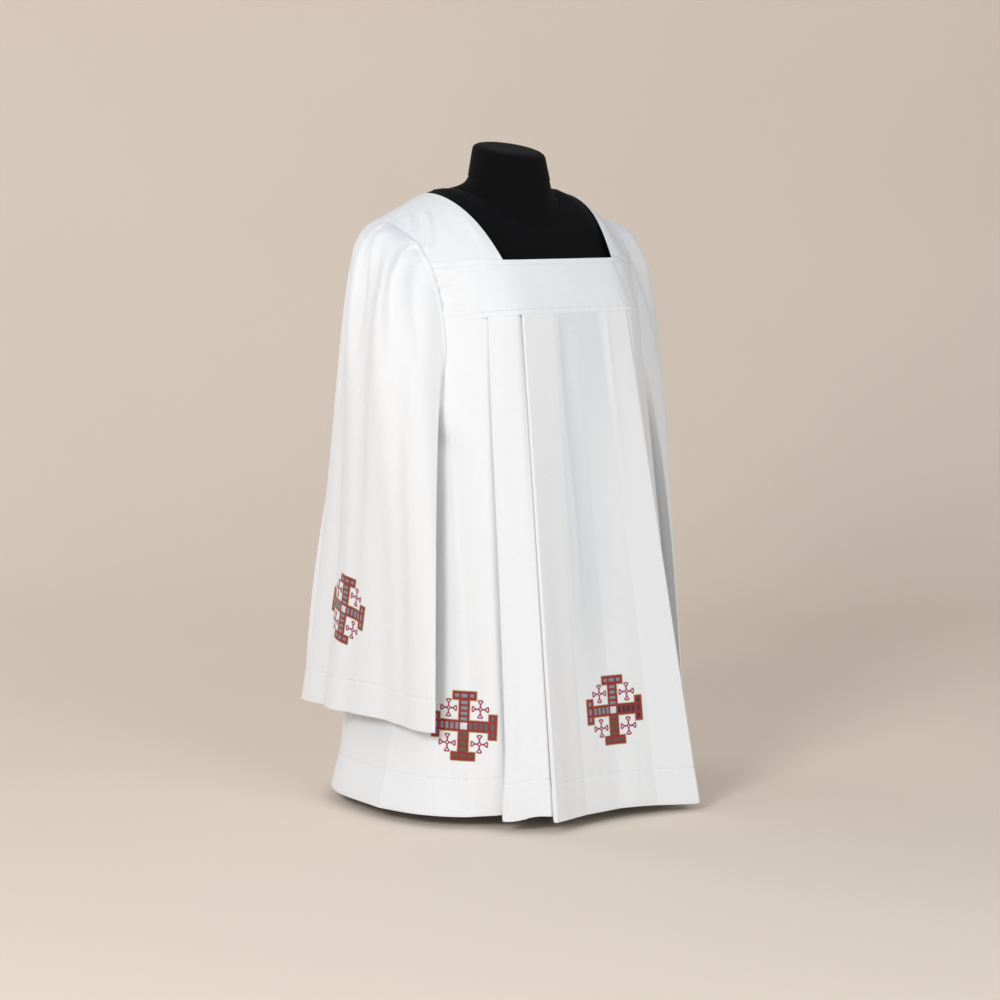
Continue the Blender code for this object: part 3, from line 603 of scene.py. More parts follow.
# Yoke bands
def half_line(points, end, count):
    line = list(points) + [end]
    return [curve_at(line, (len(line) - 1) * k / (count - 1)) for k in range(count)]


def mirrored(point):
    return (-point[0], point[1], point[2])


def both_halves(half):
    return [mirrored(point) for point in reversed(half[1:])] + list(half)


def pulled_back(grid, axis, first, last):
    """The grid's two end lines along one axis moved inwards by the steps."""
    grid = np.moveaxis(grid, axis, 0).copy()
    grid[0] += unit(grid[1] - grid[0]) * first
    grid[-1] += unit(grid[-2] - grid[-1]) * last
    return np.moveaxis(grid, 0, axis)


BAND_COLUMNS = 84
BAND_ROWS = 44
BAND_FINE_ROWS = (0.012, 0.020, 0.085, 0.095, 0.105, 0.115, 0.86, 0.875, 0.885, 0.895, 0.985, 0.99)
TOP_STITCH, LOW_STITCH = 0.0075, 0.0095      # of the yoke, from its edges
STITCH_SINK, STITCH_SPREAD = 0.00045, 0.0010
EDGE_RIDGE, EDGE_RIDGE_AT, EDGE_RIDGE_WIDTH = 0.0006, 0.0045, 0.004
END_EASE = 0.004         # the relief fades out at the armhole seams


def band_sheet(side):
    top_name, end_name = {"front": ("band_top", "band_end"), "back": ("back_top", "back_end")}[side]
    start, end = armhole_place(top_name), armhole_place(end_name)
    top = both_halves(half_line(BAND_TOP[side], armhole_point(start), BAND_COLUMNS))
    low = both_halves(half_line(BAND_EDGE[side], armhole_point(end), BAND_COLUMNS))
    shares = [k / BAND_ROWS for k in range(BAND_ROWS + 1)]
    shares = sorted(set(shares) | set(BAND_FINE_ROWS))
    grid = np.empty((len(shares), len(top), 3))
    for r, share in enumerate(shares):
        grid[r] = [between(a, b, share) for a, b in zip(top, low)]
        seam = armhole_point(start + (end - start) * share)
        grid[r, 0], grid[r, -1] = mirrored(seam), seam
    normals = grid_normals(grid)
    normals *= np.sign((normals[..., 1] * -INWARDS[side]).mean())
    relief = crease_field(grid, YOKE_CREASES[side], 0, 2)
    share = np.array(shares)[:, None]
    across = lengths_along(grid, 1)
    tall = np.linalg.norm(grid[-1] - grid[0], axis=1)[None, :]
    from_top, from_low = share * tall, (1.0 - share) * tall
    top_stitch, low_stitch = from_top - TOP_STITCH, from_low - LOW_STITCH
    relief -= (bell(top_stitch, STITCH_SPREAD) + bell(low_stitch, STITCH_SPREAD)) * STITCH_SINK
    relief += pucker(across) * (bell(low_stitch, 0.008) + 0.5 * bell(top_stitch, 0.006))
    relief += EDGE_RIDGE * bell(from_low - EDGE_RIDGE_AT, EDGE_RIDGE_WIDTH)
    inside = smooth(np.minimum(across, across[:, -1:] - across) / END_EASE)
    grid = grid + normals * (relief * inside)[..., None]
    return facing(made_sheet("cloth_%s_yoke" % side, grid, side == "back"), 1, -INWARDS[side])


# Shoulder pieces
def eased(point, target, share):
    x, y = between(point[:2], target[:2], share)
    lift = target[2] - shoulder_height(target[0], target[1])
    return (x, y, shoulder_height(x, y) + lift * share)


SHOULDER_COLUMNS = 46
SHOULDER_SPLIT = 10      # rows between two of the coarse model's rows
TIP_RIDGE, TIP_RIDGE_WIDTH = 0.0007, 0.006   # the seam's turnings push up the cloth beside the armhole
FACING_GROOVE, FACING_AT, FACING_WIDTH = 0.0004, 0.0075, 0.0010
TIP_EASE = 0.003


def shoulder_sheet(side):
    front_place, back_place = armhole_place("band_top"), armhole_place("back_top")
    front_line, back_line = (
        half_line(BAND_TOP[end][NECK_CORNER:], armhole_point(place), SHOULDER_COLUMNS)
        for end, place in (("front", front_place), ("back", back_place))
    )
    fine = 0.5 / SHOULDER_SPLIT
    places = [front_place - fine * k for k in range(round(front_place / fine) + 1)]
    places += [len(ARMHOLE) - fine * k for k in range(1, round((len(ARMHOLE) - back_place) / fine) + 1)]
    grid = np.empty((len(places), SHOULDER_COLUMNS, 3))
    for r, place in enumerate(places):
        share = r / (len(places) - 1)
        seam = armhole_point(place)
        neck_y = front_line[0][1] + (back_line[0][1] - front_line[0][1]) * share
        neck_x = NECK_HALF + (SHOULDER_NECK_X - NECK_HALF) * math.sin(math.pi * share)
        row = []
        for c in range(SHOULDER_COLUMNS):
            x, y = between((neck_x, neck_y), seam[:2], c / (SHOULDER_COLUMNS - 1))
            row.append((x, y, shoulder_height(x, y)))
        for line, near in ((front_line, 1.0 - share / BLEND), (back_line, 1.0 - (1.0 - share) / BLEND)):
            if near > 0.0:
                row = [eased(point, target, float(smooth(near))) for point, target in zip(row, line)]
        row[-1] = seam
        grid[r] = row
    if side == "right":
        grid[..., 0] *= -1.0
    normals = grid_normals(grid)
    normals *= np.sign(normals[..., 2].mean())
    relief = crease_field(grid, SHOULDER_CREASES[side], 0, 1)
    across = lengths_along(grid, 1)
    from_seam = across[:, -1:] - across
    relief += TIP_RIDGE * bell(from_seam - TIP_RIDGE_WIDTH, TIP_RIDGE_WIDTH)
    relief -= FACING_GROOVE * bell(across - FACING_AT, FACING_WIDTH)
    relief *= smooth(from_seam / TIP_EASE)
    grid = grid + normals * relief[..., None]
    return facing(made_sheet("cloth_shoulder_" + side, grid, False), 2, 1.0)


# Skirts
TUCK, TUCK_IN = 0.0025, 0.0006   # the skirt goes up behind the yoke
FOLD_OPEN = 0.0034       # how far a pressed fold has opened at the hem, as its half thickness
FOLD_PUSH_FADE = 0.045   # how soon that fades across the panel that it ends
RISE_BEFORE, RISE_OVER = 0.016, 0.014      # where a strip comes up from under its fold, at the yoke
# How far it lies behind the yoke's curve, under the fold and past it.
BEHIND_NEAR, BEHIND_FAR = 0.0042, 0.0006
BEHIND_OVER = 0.006
STRIP_BEHIND = 0.0048    # from a fold's outer face to the strip behind it, at the hem
FORWARD_BEFORE, FORWARD_OVER = 0.046, 0.024
SIDE_FORWARD = (0.012, -0.016)   # how the side panel comes up behind its fold at the hem
SIDE_FORWARD_FROM, SIDE_FORWARD_OVER = 0.150, 0.045
JOIN_COLUMNS = 14        # of the strip between the last fold and the side panel
FOLD_BOW = 0.0072        # how far the outer fold on the wearer's right swings in above its hem
BOW_FROM, BOW_OVER, BOW_FULL, BOW_ENDS = 0.134, 0.035, 0.80, 0.85
LEFT_SWING = (-0.016, 0.020)     # the left side's cloth swings in behind the middle panel's fold
SWING_FROM, SWING_OVER, SWING_ENDS, SWING_FADES = 0.128, 0.030, 0.180, 0.075
STRIP_LIFT = 0.0070      # hem of the cloth that comes out from under a fold, above the fold's own
STRIP_LIFT_AT, STRIP_LIFT_FADE = 0.004, 0.050
SIDE_LIFT_FROM = 0.150
LEFT_HEM_DROP, LEFT_DROP_AT = 0.0050, 0.128   # the middle panel hangs lower at its fold on the left
CREASE_TOP = 0.012       # the creases start this far below the yoke
SPREAD_X, SPREAD_Y = 0.26, 0.24  # of the skirt as an oval, which gives the way that its creases stand out
SKIRT_TOP_Z = 0.706
# Painted shade: the skirt's middle is drawn greyer where it is one layer thick, in place of light that
# shows through it.
PAINTED_SHADE_EDGE = {"front": 0.006, "back": 0.022}      # how soft the edge of the painted shade on the single cloth shows
PAINTED_SHADE_SHARE = {"front": 1.0, "back": 0.5}
# The single cloth's shade ends at one height and is full at the next: wearer's right, then left.
PAINTED_SHADE_FADES = {"front": ((0.14, 0.20), (0.46, 0.22)), "back": ((0.20, 0.30), (0.20, 0.30))}
PAINTED_SHADE_CHANGE_X, PAINTED_SHADE_CHANGE_OVER = 0.006, 0.046


def plan_turn(tip, outwards, side, half_thick):
    """Plan points round a fold edge. The inner layer stays put, the outer one stands off it."""
    x, y = tip
    inwards = INWARDS[side]
    sign = 1.0 if outwards else -1.0
    middle_y = y + sign * inwards * (PLEAT_STEP / 2 - half_thick)
    points = []
    for k in range(TURN_POINTS):
        angle = math.pi * (k / (TURN_POINTS - 1) - 0.5)
        points.append((
            x - sign * half_thick + sign * half_thick * math.cos(angle),
            middle_y + inwards * half_thick * math.sin(angle),
        ))
    return points


def plan_line(side, at_hem):
    """Plan of one half of the pleats, at the yoke or the hem, and each point's (fold, way from it)."""
    edges = MIDDLE_PANEL[side] + PLEATS[side]

    def place(edge):
        return edge[3:] if at_hem else edge[1:3]

    points, kinds = [place(edges[0])], [("middle", 0.0)]
    for last, edge in zip(edges, edges[1:]):
        folded = edge in PLEATS[side]
        outwards = edge.name.startswith("fold")
        opened = FOLD_OPEN if at_hem and outwards else PLEAT_STEP / 2
        turn = plan_turn(place(edge), outwards, side, opened) if folded else [place(edge)]
        target, push = turn[0], 0.0
        if folded and outwards:
            target = plan_turn(place(edge), outwards, side, PLEAT_STEP / 2)[0]
            push = turn[0][1] - target[1]
        count = max(3, round(abs(edge.hem_x - last.hem_x) / PANEL_STEP))
        run = [between(points[-1], target, k / count) for k in range(1, count)]
        if edge.name == "fold_1":
            fold, under = edges[-4], edges[-3]
            if at_hem:
                run = brought_forward(side, run, fold, under, edge)
            else:
                shift = sewn_flush(side, [turn[0]], fold.top_x)[0][1] - turn[0][1]
                turn = [(x, y + shift) for x, y in turn]
                run = sewn_flush(side, run, fold.top_x)
        kind = edge.name if folded else "middle"
        for point in run:
            away = math.hypot(point[0] - target[0], point[1] - target[1])
            points.append((point[0], point[1] + push * float(bell(away, FOLD_PUSH_FADE))))
            kinds.append((kind, away))
        points += turn
        kinds += [(kind, 0.0)] * len(turn)
    return points, kinds


def band_line(side):
    """The yoke's lower edge on one half, from the centre to the armhole seam."""
    end = armhole_point(armhole_place({"front": "band_end", "back": "back_end"}[side]))
    return np.array(half_line(BAND_EDGE[side], end, 200))


BAND_LINE = {side: band_line(side) for side in BAND_EDGE}


def band_place(side, x):
    """Where the yoke's lower edge runs at one distance from the centre: (y, z)."""
    line = BAND_LINE[side]
    return float(np.interp(x, line[:, 0], line[:, 1])), float(np.interp(x, line[:, 0], line[:, 2]))


def sewn_flush(side, points, fold_x):
    """The tops of a run that comes out from under a fold, laid on the yoke's own curve."""
    laid = []
    for x, y in points:
        out = float(smooth((x - fold_x + RISE_BEFORE) / RISE_OVER))
        behind = BEHIND_NEAR + (BEHIND_FAR - BEHIND_NEAR) * float(smooth((x - fold_x) / BEHIND_OVER))
        target = band_place(side, x)[0] + INWARDS[side] * behind
        laid.append((x, y + (target - y) * out))
    return laid


def brought_forward(side, points, fold, under, end):
    """The hem of a strip, brought up close behind the fold that it comes out from under."""
    step = INWARDS[side] * STRIP_BEHIND
    behind = (under.hem_y + step, fold.hem_y + step, end.hem_y)
    laid = []
    for x, y in points:
        out = float(smooth((x - fold.hem_x + FORWARD_BEFORE) / FORWARD_OVER))
        target = float(np.interp(x, (under.hem_x, fold.hem_x, end.hem_x), behind))
        laid.append((x, y + (target - y) * out))
    return laid


def press_at(share):
    shares, pressed = np.array(PRESS_DOWN).T
    low = np.clip(np.searchsorted(shares, share, side="left") - 1, 0, len(shares) - 2)
    part = smooth((share - shares[low]) / (shares[low + 1] - shares[low]))
    return pressed[low] + (pressed[low + 1] - pressed[low]) * part


def top_edge(side, place):
    end_name, way = {"front": ("band_end", 1), "back": ("back_end", -1)}[side]
    end = armhole_place(end_name)
    line = list(BAND_EDGE[side]) + [armhole_point(end)]
    if place <= len(line) - 1:
        return curve_at(line, place)
    return armhole_point(end + way * (place - (len(line) - 1)))


def side_threads(side):
    """Threads of the side panel, each as (top, hem, how far it is pressed in, kind)."""
    rows = SIDE_PANEL[side]
    first, last = rows[0].start, rows[-1].start
    count = round((last - first) / SIDE_STEP)
    threads = []
    for k in range(count + 1):
        start = first + (last - first) * k / count
        low = max(j for j in range(len(rows) - 1) if rows[j].start <= start)
        share = (start - rows[low].start) / (rows[low + 1].start - rows[low].start)
        x, y, press = curve_at([row[1:] for row in rows], low + share)
        if side == "front":
            near = 1.0 - float(smooth((x - SIDE_FORWARD_FROM) / SIDE_FORWARD_OVER))
            x, y = x + SIDE_FORWARD[0] * near, y + SIDE_FORWARD[1] * near
        lift = STRIP_LIFT * (1.0 - float(smooth((x - SIDE_LIFT_FROM) / STRIP_LIFT_FADE)))
        threads.append((top_edge(side, start), (x, y, HEM_Z + lift), press, "side"))
    return threads


def hem_rise(kind, away):
    """Height of a pleat's hem over the garment's lowest edge."""
    if kind in ("under_1", "under_2"):
        return STRIP_LIFT
    if kind == "fold_1":
        return STRIP_LIFT * float(smooth((away - STRIP_LIFT_AT) / STRIP_LIFT_FADE))
    return 0.0


def half_skirt(side):
    threads = []
    for (x, y), hem, (kind, away) in zip(plan_line(side, False)[0], *plan_line(side, True)):
        top = (x, y, band_place(side, x)[1])
        threads.append((top, (*hem, HEM_Z + hem_rise(kind, away)), 0.0, kind))
    outer = side_threads(side)
    inner = threads[-1]
    for k in range(1, JOIN_COLUMNS):
        share = k / JOIN_COLUMNS
        x, y = sewn_flush(side, [between(inner[0], outer[0][0], share)[:2]], PLEATS[side][2].top_x)[0]
        hem = between(inner[1], outer[0][1], share)
        threads.append(((x, y, band_place(side, x)[1]), hem, outer[0][2] * share, "side"))
    return threads + outer


def skirt_sheet(side):
    half = half_skirt(side)
    lean = HEM_LEAN if side == "front" else 0.0
    columns = [(-1.0, *thread) for thread in reversed(half[1:])] + [(1.0, *thread) for thread in half]
    rows = SKIRT_UPPER_ROWS + len(HEM_ROWS)
    grid = np.empty((rows, len(columns), 3))
    height = np.empty((rows, len(columns)))
    hem_heights = np.array([SKIRT_HEM * k for k in HEM_ROWS])
    for c, (sign, top, hem, press, kind) in enumerate(columns):
        long = top[2] - hem[2]
        upper = (long - hem_heights[0]) * np.arange(SKIRT_UPPER_ROWS) / SKIRT_UPPER_ROWS
        share = np.concatenate([upper, long - hem_heights]) / long
        x = top[0] + (hem[0] - top[0]) * share - press * press_at(share)
        y = top[1] + (hem[1] - top[1]) * share
        drop = 0.0
        if sign > 0 and kind in ("fold_2", "middle") and side == "front":
            drop = LEFT_HEM_DROP * float(smooth(hem[0] / LEFT_DROP_AT))
        if sign < 0 and kind in ("fold_1", "under_1") and side == "front":
            near = float(smooth((hem[0] - BOW_FROM) / BOW_OVER))
            swing = smooth(share / BOW_FULL) * (1.0 - smooth((share - BOW_ENDS) / (1.0 - BOW_ENDS)))
            x = x - FOLD_BOW * near * swing
        takes = lean * (1.0 - float(smooth((hem[0] - LEAN_FADES_FROM) / LEAN_FADES_OVER)))
        y = y - sign * takes * share * x
        if sign > 0 and kind in ("fold_1", "under_1", "side") and side == "front":
            ends = 1.0 - smooth((hem[0] - SWING_ENDS) / SWING_FADES)
            near = float(smooth((hem[0] - SWING_FROM) / SWING_OVER) * ends)
            x = x + LEFT_SWING[0] * near * share
            y = y + LEFT_SWING[1] * near * share
        grid[:, c] = np.stack([sign * x, y, top[2] + (hem[2] - drop - top[2]) * share], axis=1)
        height[:, c] = (1.0 - share) * long
    grid = pulled_back(grid, 0, -TUCK, 0.0)
    from_top = lengths_along(grid, 0)
    relief = crease_field(grid, SKIRT_CREASES[side], 0, 2) * smooth(from_top / CREASE_TOP)
    relief -= TUCK_IN * smooth(1.0 - from_top / (2 * TUCK))
    out_way = grid * (1.0 / SPREAD_X ** 2, 1.0 / SPREAD_Y ** 2, 0.0)
    across = lengths_along(grid, 1)[-1:]
    grid = grid + unit(out_way) * relief[..., None]
    sheet = made_sheet("cloth_%s_skirt" % side, grid, side == "front")
    if sheet.normals[:, len(columns) // 2, 1].mean() * INWARDS[side] > 0:
        sheet = sheet._replace(normals=-sheet.normals)
    relief = hem_relief(height, across, SKIRT_HEM)
    # The tone attribute carries painted shade: it is lower where the skirt's middle is one layer thick.
    sheet = sheet._replace(
        grid=grid + sheet.normals * relief[..., None],
        tone=1.0 - single_layer_painted_shade(side, grid, [column[4] for column in columns]),
    )
    return sheet, height


def single_layer_painted_shade(side, grid, kinds):
    """Painted shade where the skirt's middle is one layer thick, with no pleat behind it: 1 there, 0
    elsewhere.
    """
    under = PLEATS[side][1]
    down = np.clip((SKIRT_TOP_Z - grid[..., 2]) / (SKIRT_TOP_Z - HEM_Z), 0.0, 1.0)
    line = under.top_x + (under.hem_x - under.top_x) * down
    single = 1.0 - smooth((np.abs(grid[..., 0]) - line) / PAINTED_SHADE_EDGE[side] + 0.5)
    right, left = (smooth((grid[..., 2] - ends) / over) for ends, over in PAINTED_SHADE_FADES[side])
    to_left = smooth((grid[..., 0] + PAINTED_SHADE_CHANGE_X) / PAINTED_SHADE_CHANGE_OVER)
    single *= PAINTED_SHADE_SHARE[side] * (right + (left - right) * to_left)
    return single * np.array([kind in ("middle", "fold_2") for kind in kinds])


# Finishes
def node(tree, kind, links=None, **settings):
    """A shader node. Its sockets take (node, socket name) pairs, or plain values named in_..."""
    made = tree.nodes.new("ShaderNode" + kind)
    for key, value in settings.items():
        if key.startswith("in_"):
            made.inputs[key[3:].replace("_", " ")].default_value = value
        else:
            setattr(made, key, value)
    for name, (source, socket) in (links or {}).items():
        tree.links.new(source.outputs[socket], made.inputs[name])
    return made


def new_material(name):
    """An empty material, its tree and the place on the object that its textures start from."""
    made = bpy.data.materials.new(name)
    made.use_nodes = True
    made.node_tree.nodes.clear()
    return made, made.node_tree, (node(made.node_tree, "TexCoord"), "Object")


def on_cloth(tree):
    return node(tree, "UVMap", uv_map="cloth"), "UV"


def noise(tree, vector, scale, detail):
    return node(tree, "TexNoise", {"Vector": vector}, in_Scale=scale, in_Detail=detail), "Fac"


def waves(tree, vector, way, scale, distortion, detail):
    return node(tree, "TexWave", {"Vector": vector}, wave_type="BANDS", bands_direction=way,
                in_Scale=scale, in_Distortion=distortion, in_Detail=detail), "Fac"


def product(tree, first, second):
    made = node(tree, "Math", operation="MULTIPLY")
    for k, (source, socket) in enumerate((first, second)):
        tree.links.new(source.outputs[socket], made.inputs[k])
    return made, "Value"


def bump(tree, height, strength, distance, over=None):
    links = {"Height": height}
    if over is not None:
        links["Normal"] = over
    return node(tree, "Bump", links, in_Strength=strength, in_Distance=distance), "Normal"


def ramp(tree, source, *stops):
    made = node(tree, "ValToRGB", {"Fac": source})
    while len(made.color_ramp.elements) < len(stops):
        made.color_ramp.elements.new(0.5)
    for element, (place, colour) in zip(made.color_ramp.elements, stops):
        element.position = place
        element.color = (*colour, 1.0)
    return made, "Color"


def finish_with(tree, links, **settings):
    shader = node(tree, "BsdfPrincipled", links, **settings)
    node(tree, "OutputMaterial", {"Surface": (shader, "BSDF")})


WEAVE_SCALE = 700        # one thread in 0.45 mm
# The first colour is painted shade for cloth one layer thick; the second is the cloth's own white.
CLOTH_SINGLE_PAINTED_SHADE, CLOTH_LAYERED = (0.800, 0.825, 0.845), (0.890, 0.900, 0.910)
KNIT_DARK, KNIT_LIGHT = (0.0028, 0.0028, 0.0031), (0.0036, 0.0036, 0.0040)
KNIT_SHEEN = (0.16, 0.17, 0.19, 1.0)
STEEL_DARK, STEEL_LIGHT = (0.018, 0.018, 0.019), (0.034, 0.034, 0.036)


def cloth_material():
    """A close plain weave, with painted shade that makes one layer a little greyer than three."""
    made, tree, place = new_material("white_plain_weave")
    uv = on_cloth(tree)
    weave = product(tree, *(waves(tree, uv, way, WEAVE_SCALE, 0.6, 1.0) for way in "XY"))
    slub = noise(tree, place, 160.0, 4.0)
    relief = bump(tree, weave, 0.4, 0.00003)
    relief = bump(tree, slub, 0.3, 0.00005, relief)
    relief = bump(tree, noise(tree, place, 26.0, 3.0), 0.25, 0.0004, relief)
    # Painted shade: the tone attribute turns the base colour greyer where the skirt is one layer thick.
    tone = node(tree, "VertexColor", layer_name="tone")
    painted_shade_colour = ramp(tree, (tone, "Color"), (0.0, CLOTH_SINGLE_PAINTED_SHADE), (1.0, CLOTH_LAYERED))
    mottle = ramp(tree, slub, (0.30, (0.985, 0.985, 0.985)), (0.70, (1.0, 1.0, 1.0)))
    mixed = node(tree, "Mix", data_type="RGBA", blend_type="MULTIPLY", in_Factor=1.0)
    for k, (source, socket) in ((6, painted_shade_colour), (7, mottle)):
        tree.links.new(source.outputs[socket], mixed.inputs[k])
    finish_with(tree, {"Base Color": (mixed, 2), "Normal": relief}, in_Roughness=0.82,
                in_Sheen_Weight=0.12, in_Sheen_Roughness=0.45, in_Specular_IOR_Level=0.25)
    return made


def thread_material(name, colour, strand_shade_and_mottle, roughness=0.42):
    """Satin embroidery thread: close parallel strands with a soft gloss, painted shade in the grooves
    between strands, and darker random patches.
    """
    made, tree, place = new_material(name)
    strands = waves(tree, on_cloth(tree), "X", 900.0, 1.2, 2.0)
    blend = product(tree, strands, noise(tree, place, 600.0, 2.0))
    # The darker colour is painted shade along the grooves between strands, mixed with darker random patches
    # where the noise is low.
    colours = ramp(tree, blend, (0.05, strand_shade_and_mottle), (0.45, colour))
    finish_with(tree, {"Base Color": colours, "Normal": bump(tree, strands, 0.6, 0.0001)},
                in_Roughness=roughness, in_Sheen_Weight=0.2, in_Specular_IOR_Level=0.5)
    return made


def jersey_material():
    """Fine black knit drawn over the form."""
    made, tree, place = new_material("black_knit")
    knit = product(tree, waves(tree, place, "X", 330.0, 2.0, 2.0), waves(tree, place, "Z", 420.0, 2.0, 2.0))
    colours = ramp(tree, noise(tree, place, 90.0, 5.0), (0.30, KNIT_DARK), (0.75, KNIT_LIGHT))
    finish_with(tree, {"Base Color": colours, "Normal": bump(tree, knit, 0.4, 0.00015)}, in_Roughness=0.88,
                in_Sheen_Weight=0.10, in_Sheen_Roughness=0.5, in_Sheen_Tint=KNIT_SHEEN,
                in_Specular_IOR_Level=0.10)
    return made


def steel_material():
    """Black powder-coated steel with worn, slightly lighter grain."""
    made, tree, place = new_material("black_coated_steel")
    marks = noise(tree, place, 24.0, 6.0)
    grain = bump(tree, noise(tree, place, 700.0, 3.0), 0.3, 0.0001)
    rough = node(tree, "MapRange", {"Value": marks}, in_To_Min=0.34, in_To_Max=0.52)
    finish_with(tree, {
        "Base Color": ramp(tree, marks, (0.35, STEEL_DARK), (0.75, STEEL_LIGHT)),
        "Normal": grain,
        "Roughness": (rough, "Result"),
    })
    return made


def stage_material(name, colour):
    made, tree, place = new_material(name)
    low = tuple(0.985 * part for part in colour)
    colours = ramp(tree, noise(tree, place, 2.0, 2.0), (0.3, low), (0.7, colour))
    finish_with(tree, {"Base Color": colours}, in_Roughness=0.9, in_Specular_IOR_Level=0.1)
    return made


# Sewing: each stitch is a small closed lozenge that lies in its groove.
STITCH_PITCH, STITCH_LONG, STITCH_WIDE, STITCH_HIGH = 0.0030, 0.0023, 0.00050, 0.00034
STITCH_LIFT, STITCH_LOOK = 0.00005, 0.0008   # off the cloth, and how far its direction is taken from


def stitch_line(points, normals, closed=False):
    """Corners of the stitches along a line on the cloth, six to a stitch."""
    if closed:
        points, normals = (np.concatenate([rows, rows[:1]]) for rows in (points, normals))
    run = np.concatenate([[0.0], np.cumsum(np.linalg.norm(np.diff(points, axis=0), axis=1))])
    places = np.arange(STITCH_PITCH / 2, run[-1], STITCH_PITCH)

    def along(rows, ahead=0.0):
        return np.stack([np.interp(places + ahead, run, rows[:, k]) for k in range(3)], axis=1)

    up = unit(along(normals))
    way = unit(along(points, STITCH_LOOK) - along(points, -STITCH_LOOK))
    middle = along(points) + up * STITCH_LIFT
    half_long, half_wide = way * STITCH_LONG / 2, unit(np.cross(up, way)) * STITCH_WIDE / 2
    corners = (half_long, half_wide, -half_long, -half_wide, up * STITCH_HIGH, -up * STITCH_HIGH / 2)
    return np.stack([middle + corner for corner in corners], axis=1).reshape(-1, 3)


STITCH_FACES = ((0, 1, 4), (1, 2, 4), (2, 3, 4), (3, 0, 4), (1, 0, 5), (2, 1, 5), (3, 2, 5), (0, 3, 5))


def stitch_piece(name, lines, finish):
    points = np.concatenate(lines)
    faces = []
    for k in range(0, len(points), 6):
        faces += [tuple(k + corner for corner in face) for face in STITCH_FACES]
    uvs = np.zeros((len(points), 2))
    return mesh_piece(name, points, faces, finish, uvs=uvs, sharp=80)


def sheet_line(sheet, row=None, column=None):
    """A row or column of the sheet's outer face, with its normals."""
    part = (slice(None), column) if row is None else (row, slice(None))
    return sheet.grid[part] + sheet.normals[part] * CLOTH / 2, sheet.normals[part]


# Embroidery: a cross potent with four small crosses, a traditional form, in satin stitch.
CROSS_TALL = 0.0955
Stroke = namedtuple("Stroke", "colour path width height")
# One arm, in shares of the cross's height: its half width, where it starts, where its bar starts.
ARM_HALF, ARM_START, BAR_START, BAR_HALF, BAR_MIDDLE = 0.079, 0.064, 0.378, 0.181, 0.439
RAIL, RUNG, POST, CELL = 0.024, 0.022, 0.020, 0.054      # widths of its lines and its filled cells
ARM_CELLS = 4
CELL_HALF, RUNG_HALF = 0.048, 0.054
BAR_CELLS = ((-0.112, 0.034), (0.0, 0.046), (0.112, 0.034))
BAR_POSTS = (-0.062, 0.062)
GOLD_EDGE, GOLD_WIDTH = 0.006, 0.013
# Heights of the threads over the cloth, in metres: ground, outline, cells, centre, lines.
GROUND_HIGH, GOLD_HIGH, CELL_HIGH, CENTRE_HIGH = 0.00030, 0.00045, 0.00055, 0.00060
RAIL_HIGH, POST_HIGH, RUNG_HIGH, CORNER_HIGH = 0.00065, 0.00068, 0.00070, 0.00072


def turned(path, quarter):
    angle = math.pi / 2 * quarter
    c, s = math.cos(angle), math.sin(angle)
    return [(c * x - s * y, s * x + c * y) for x, y in path]


def arm_strokes():
    """Strokes of one arm that points up, as (colour, path, width, height)."""
    arm = [
        ("crimson", ((0, 0.05), (0, BAR_START + 0.02)), 2 * ARM_HALF - 0.01, GROUND_HIGH),
        ("crimson", ((0.005 - BAR_HALF, BAR_MIDDLE), (BAR_HALF - 0.005, BAR_MIDDLE)), 0.112, GROUND_HIGH),
    ]
    for sign in (-1, 1):
        x, end = sign * (ARM_HALF - RAIL / 2), sign * (BAR_HALF - RAIL / 2)
        arm.append(("crimson", ((x, ARM_START - 0.01), (x, BAR_START)), RAIL, RAIL_HIGH))
        arm.append(("crimson", ((end, BAR_START), (end, 0.5)), RAIL, RAIL_HIGH))
    for y in (BAR_START + RAIL / 2, 0.5 - RAIL / 2):
        arm.append(("crimson", ((-BAR_HALF, y), (BAR_HALF, y)), RAIL, RUNG_HIGH))
    pitch = (BAR_START - ARM_START) / ARM_CELLS
    for k in range(ARM_CELLS):
        y = ARM_START + pitch * (k + 0.5)
        arm.append(("cell", ((-CELL_HALF, y), (CELL_HALF, y)), CELL, CELL_HIGH))
        if k:
            y = ARM_START + pitch * k
            arm.append(("crimson", ((-RUNG_HALF, y), (RUNG_HALF, y)), RUNG, RUNG_HIGH))
    for x, reach in BAR_CELLS:
        arm.append(("cell", ((x - reach, BAR_MIDDLE), (x + reach, BAR_MIDDLE)), CELL, CELL_HIGH))
    for x in BAR_POSTS:
        arm.append(("crimson", ((x, 0.40), (x, 0.478)), POST, POST_HIGH))
    arm.append(("crimson", ((-ARM_START, ARM_START), (ARM_START, ARM_START)), RUNG, CORNER_HIGH))
    return arm


def big_cross(cells):
    """Strokes of the large cross, with the cell colours of its four arms."""
    strokes = []
    for quarter in range(4):
        for colour, path, width, height in arm_strokes():
            colour = cells[quarter] if colour == "cell" else colour
            strokes.append(Stroke(colour, turned(path, quarter), width, height))
    strokes.append(Stroke("white", ((-0.052, 0.0), (0.052, 0.0)), 0.104, CENTRE_HIGH))
    arm, bar = ARM_HALF + GOLD_EDGE, BAR_HALF + GOLD_EDGE
    low, high = BAR_START - GOLD_EDGE, 0.5 + GOLD_EDGE
    corner = ((arm, arm), (arm, low), (bar, low), (bar, high), (-bar, high), (-bar, low), (-arm, low))
    outline = [point for quarter in range(4) for point in turned(corner, quarter)]
    for a, b in zip(outline, outline[1:] + outline[:1]):
        strokes.append(Stroke("gold", (a, b), GOLD_WIDTH, GOLD_HIGH))
    return strokes


SMALL_X, SMALL_Y, SMALL_HIGH = 0.245, 0.252, 0.00055


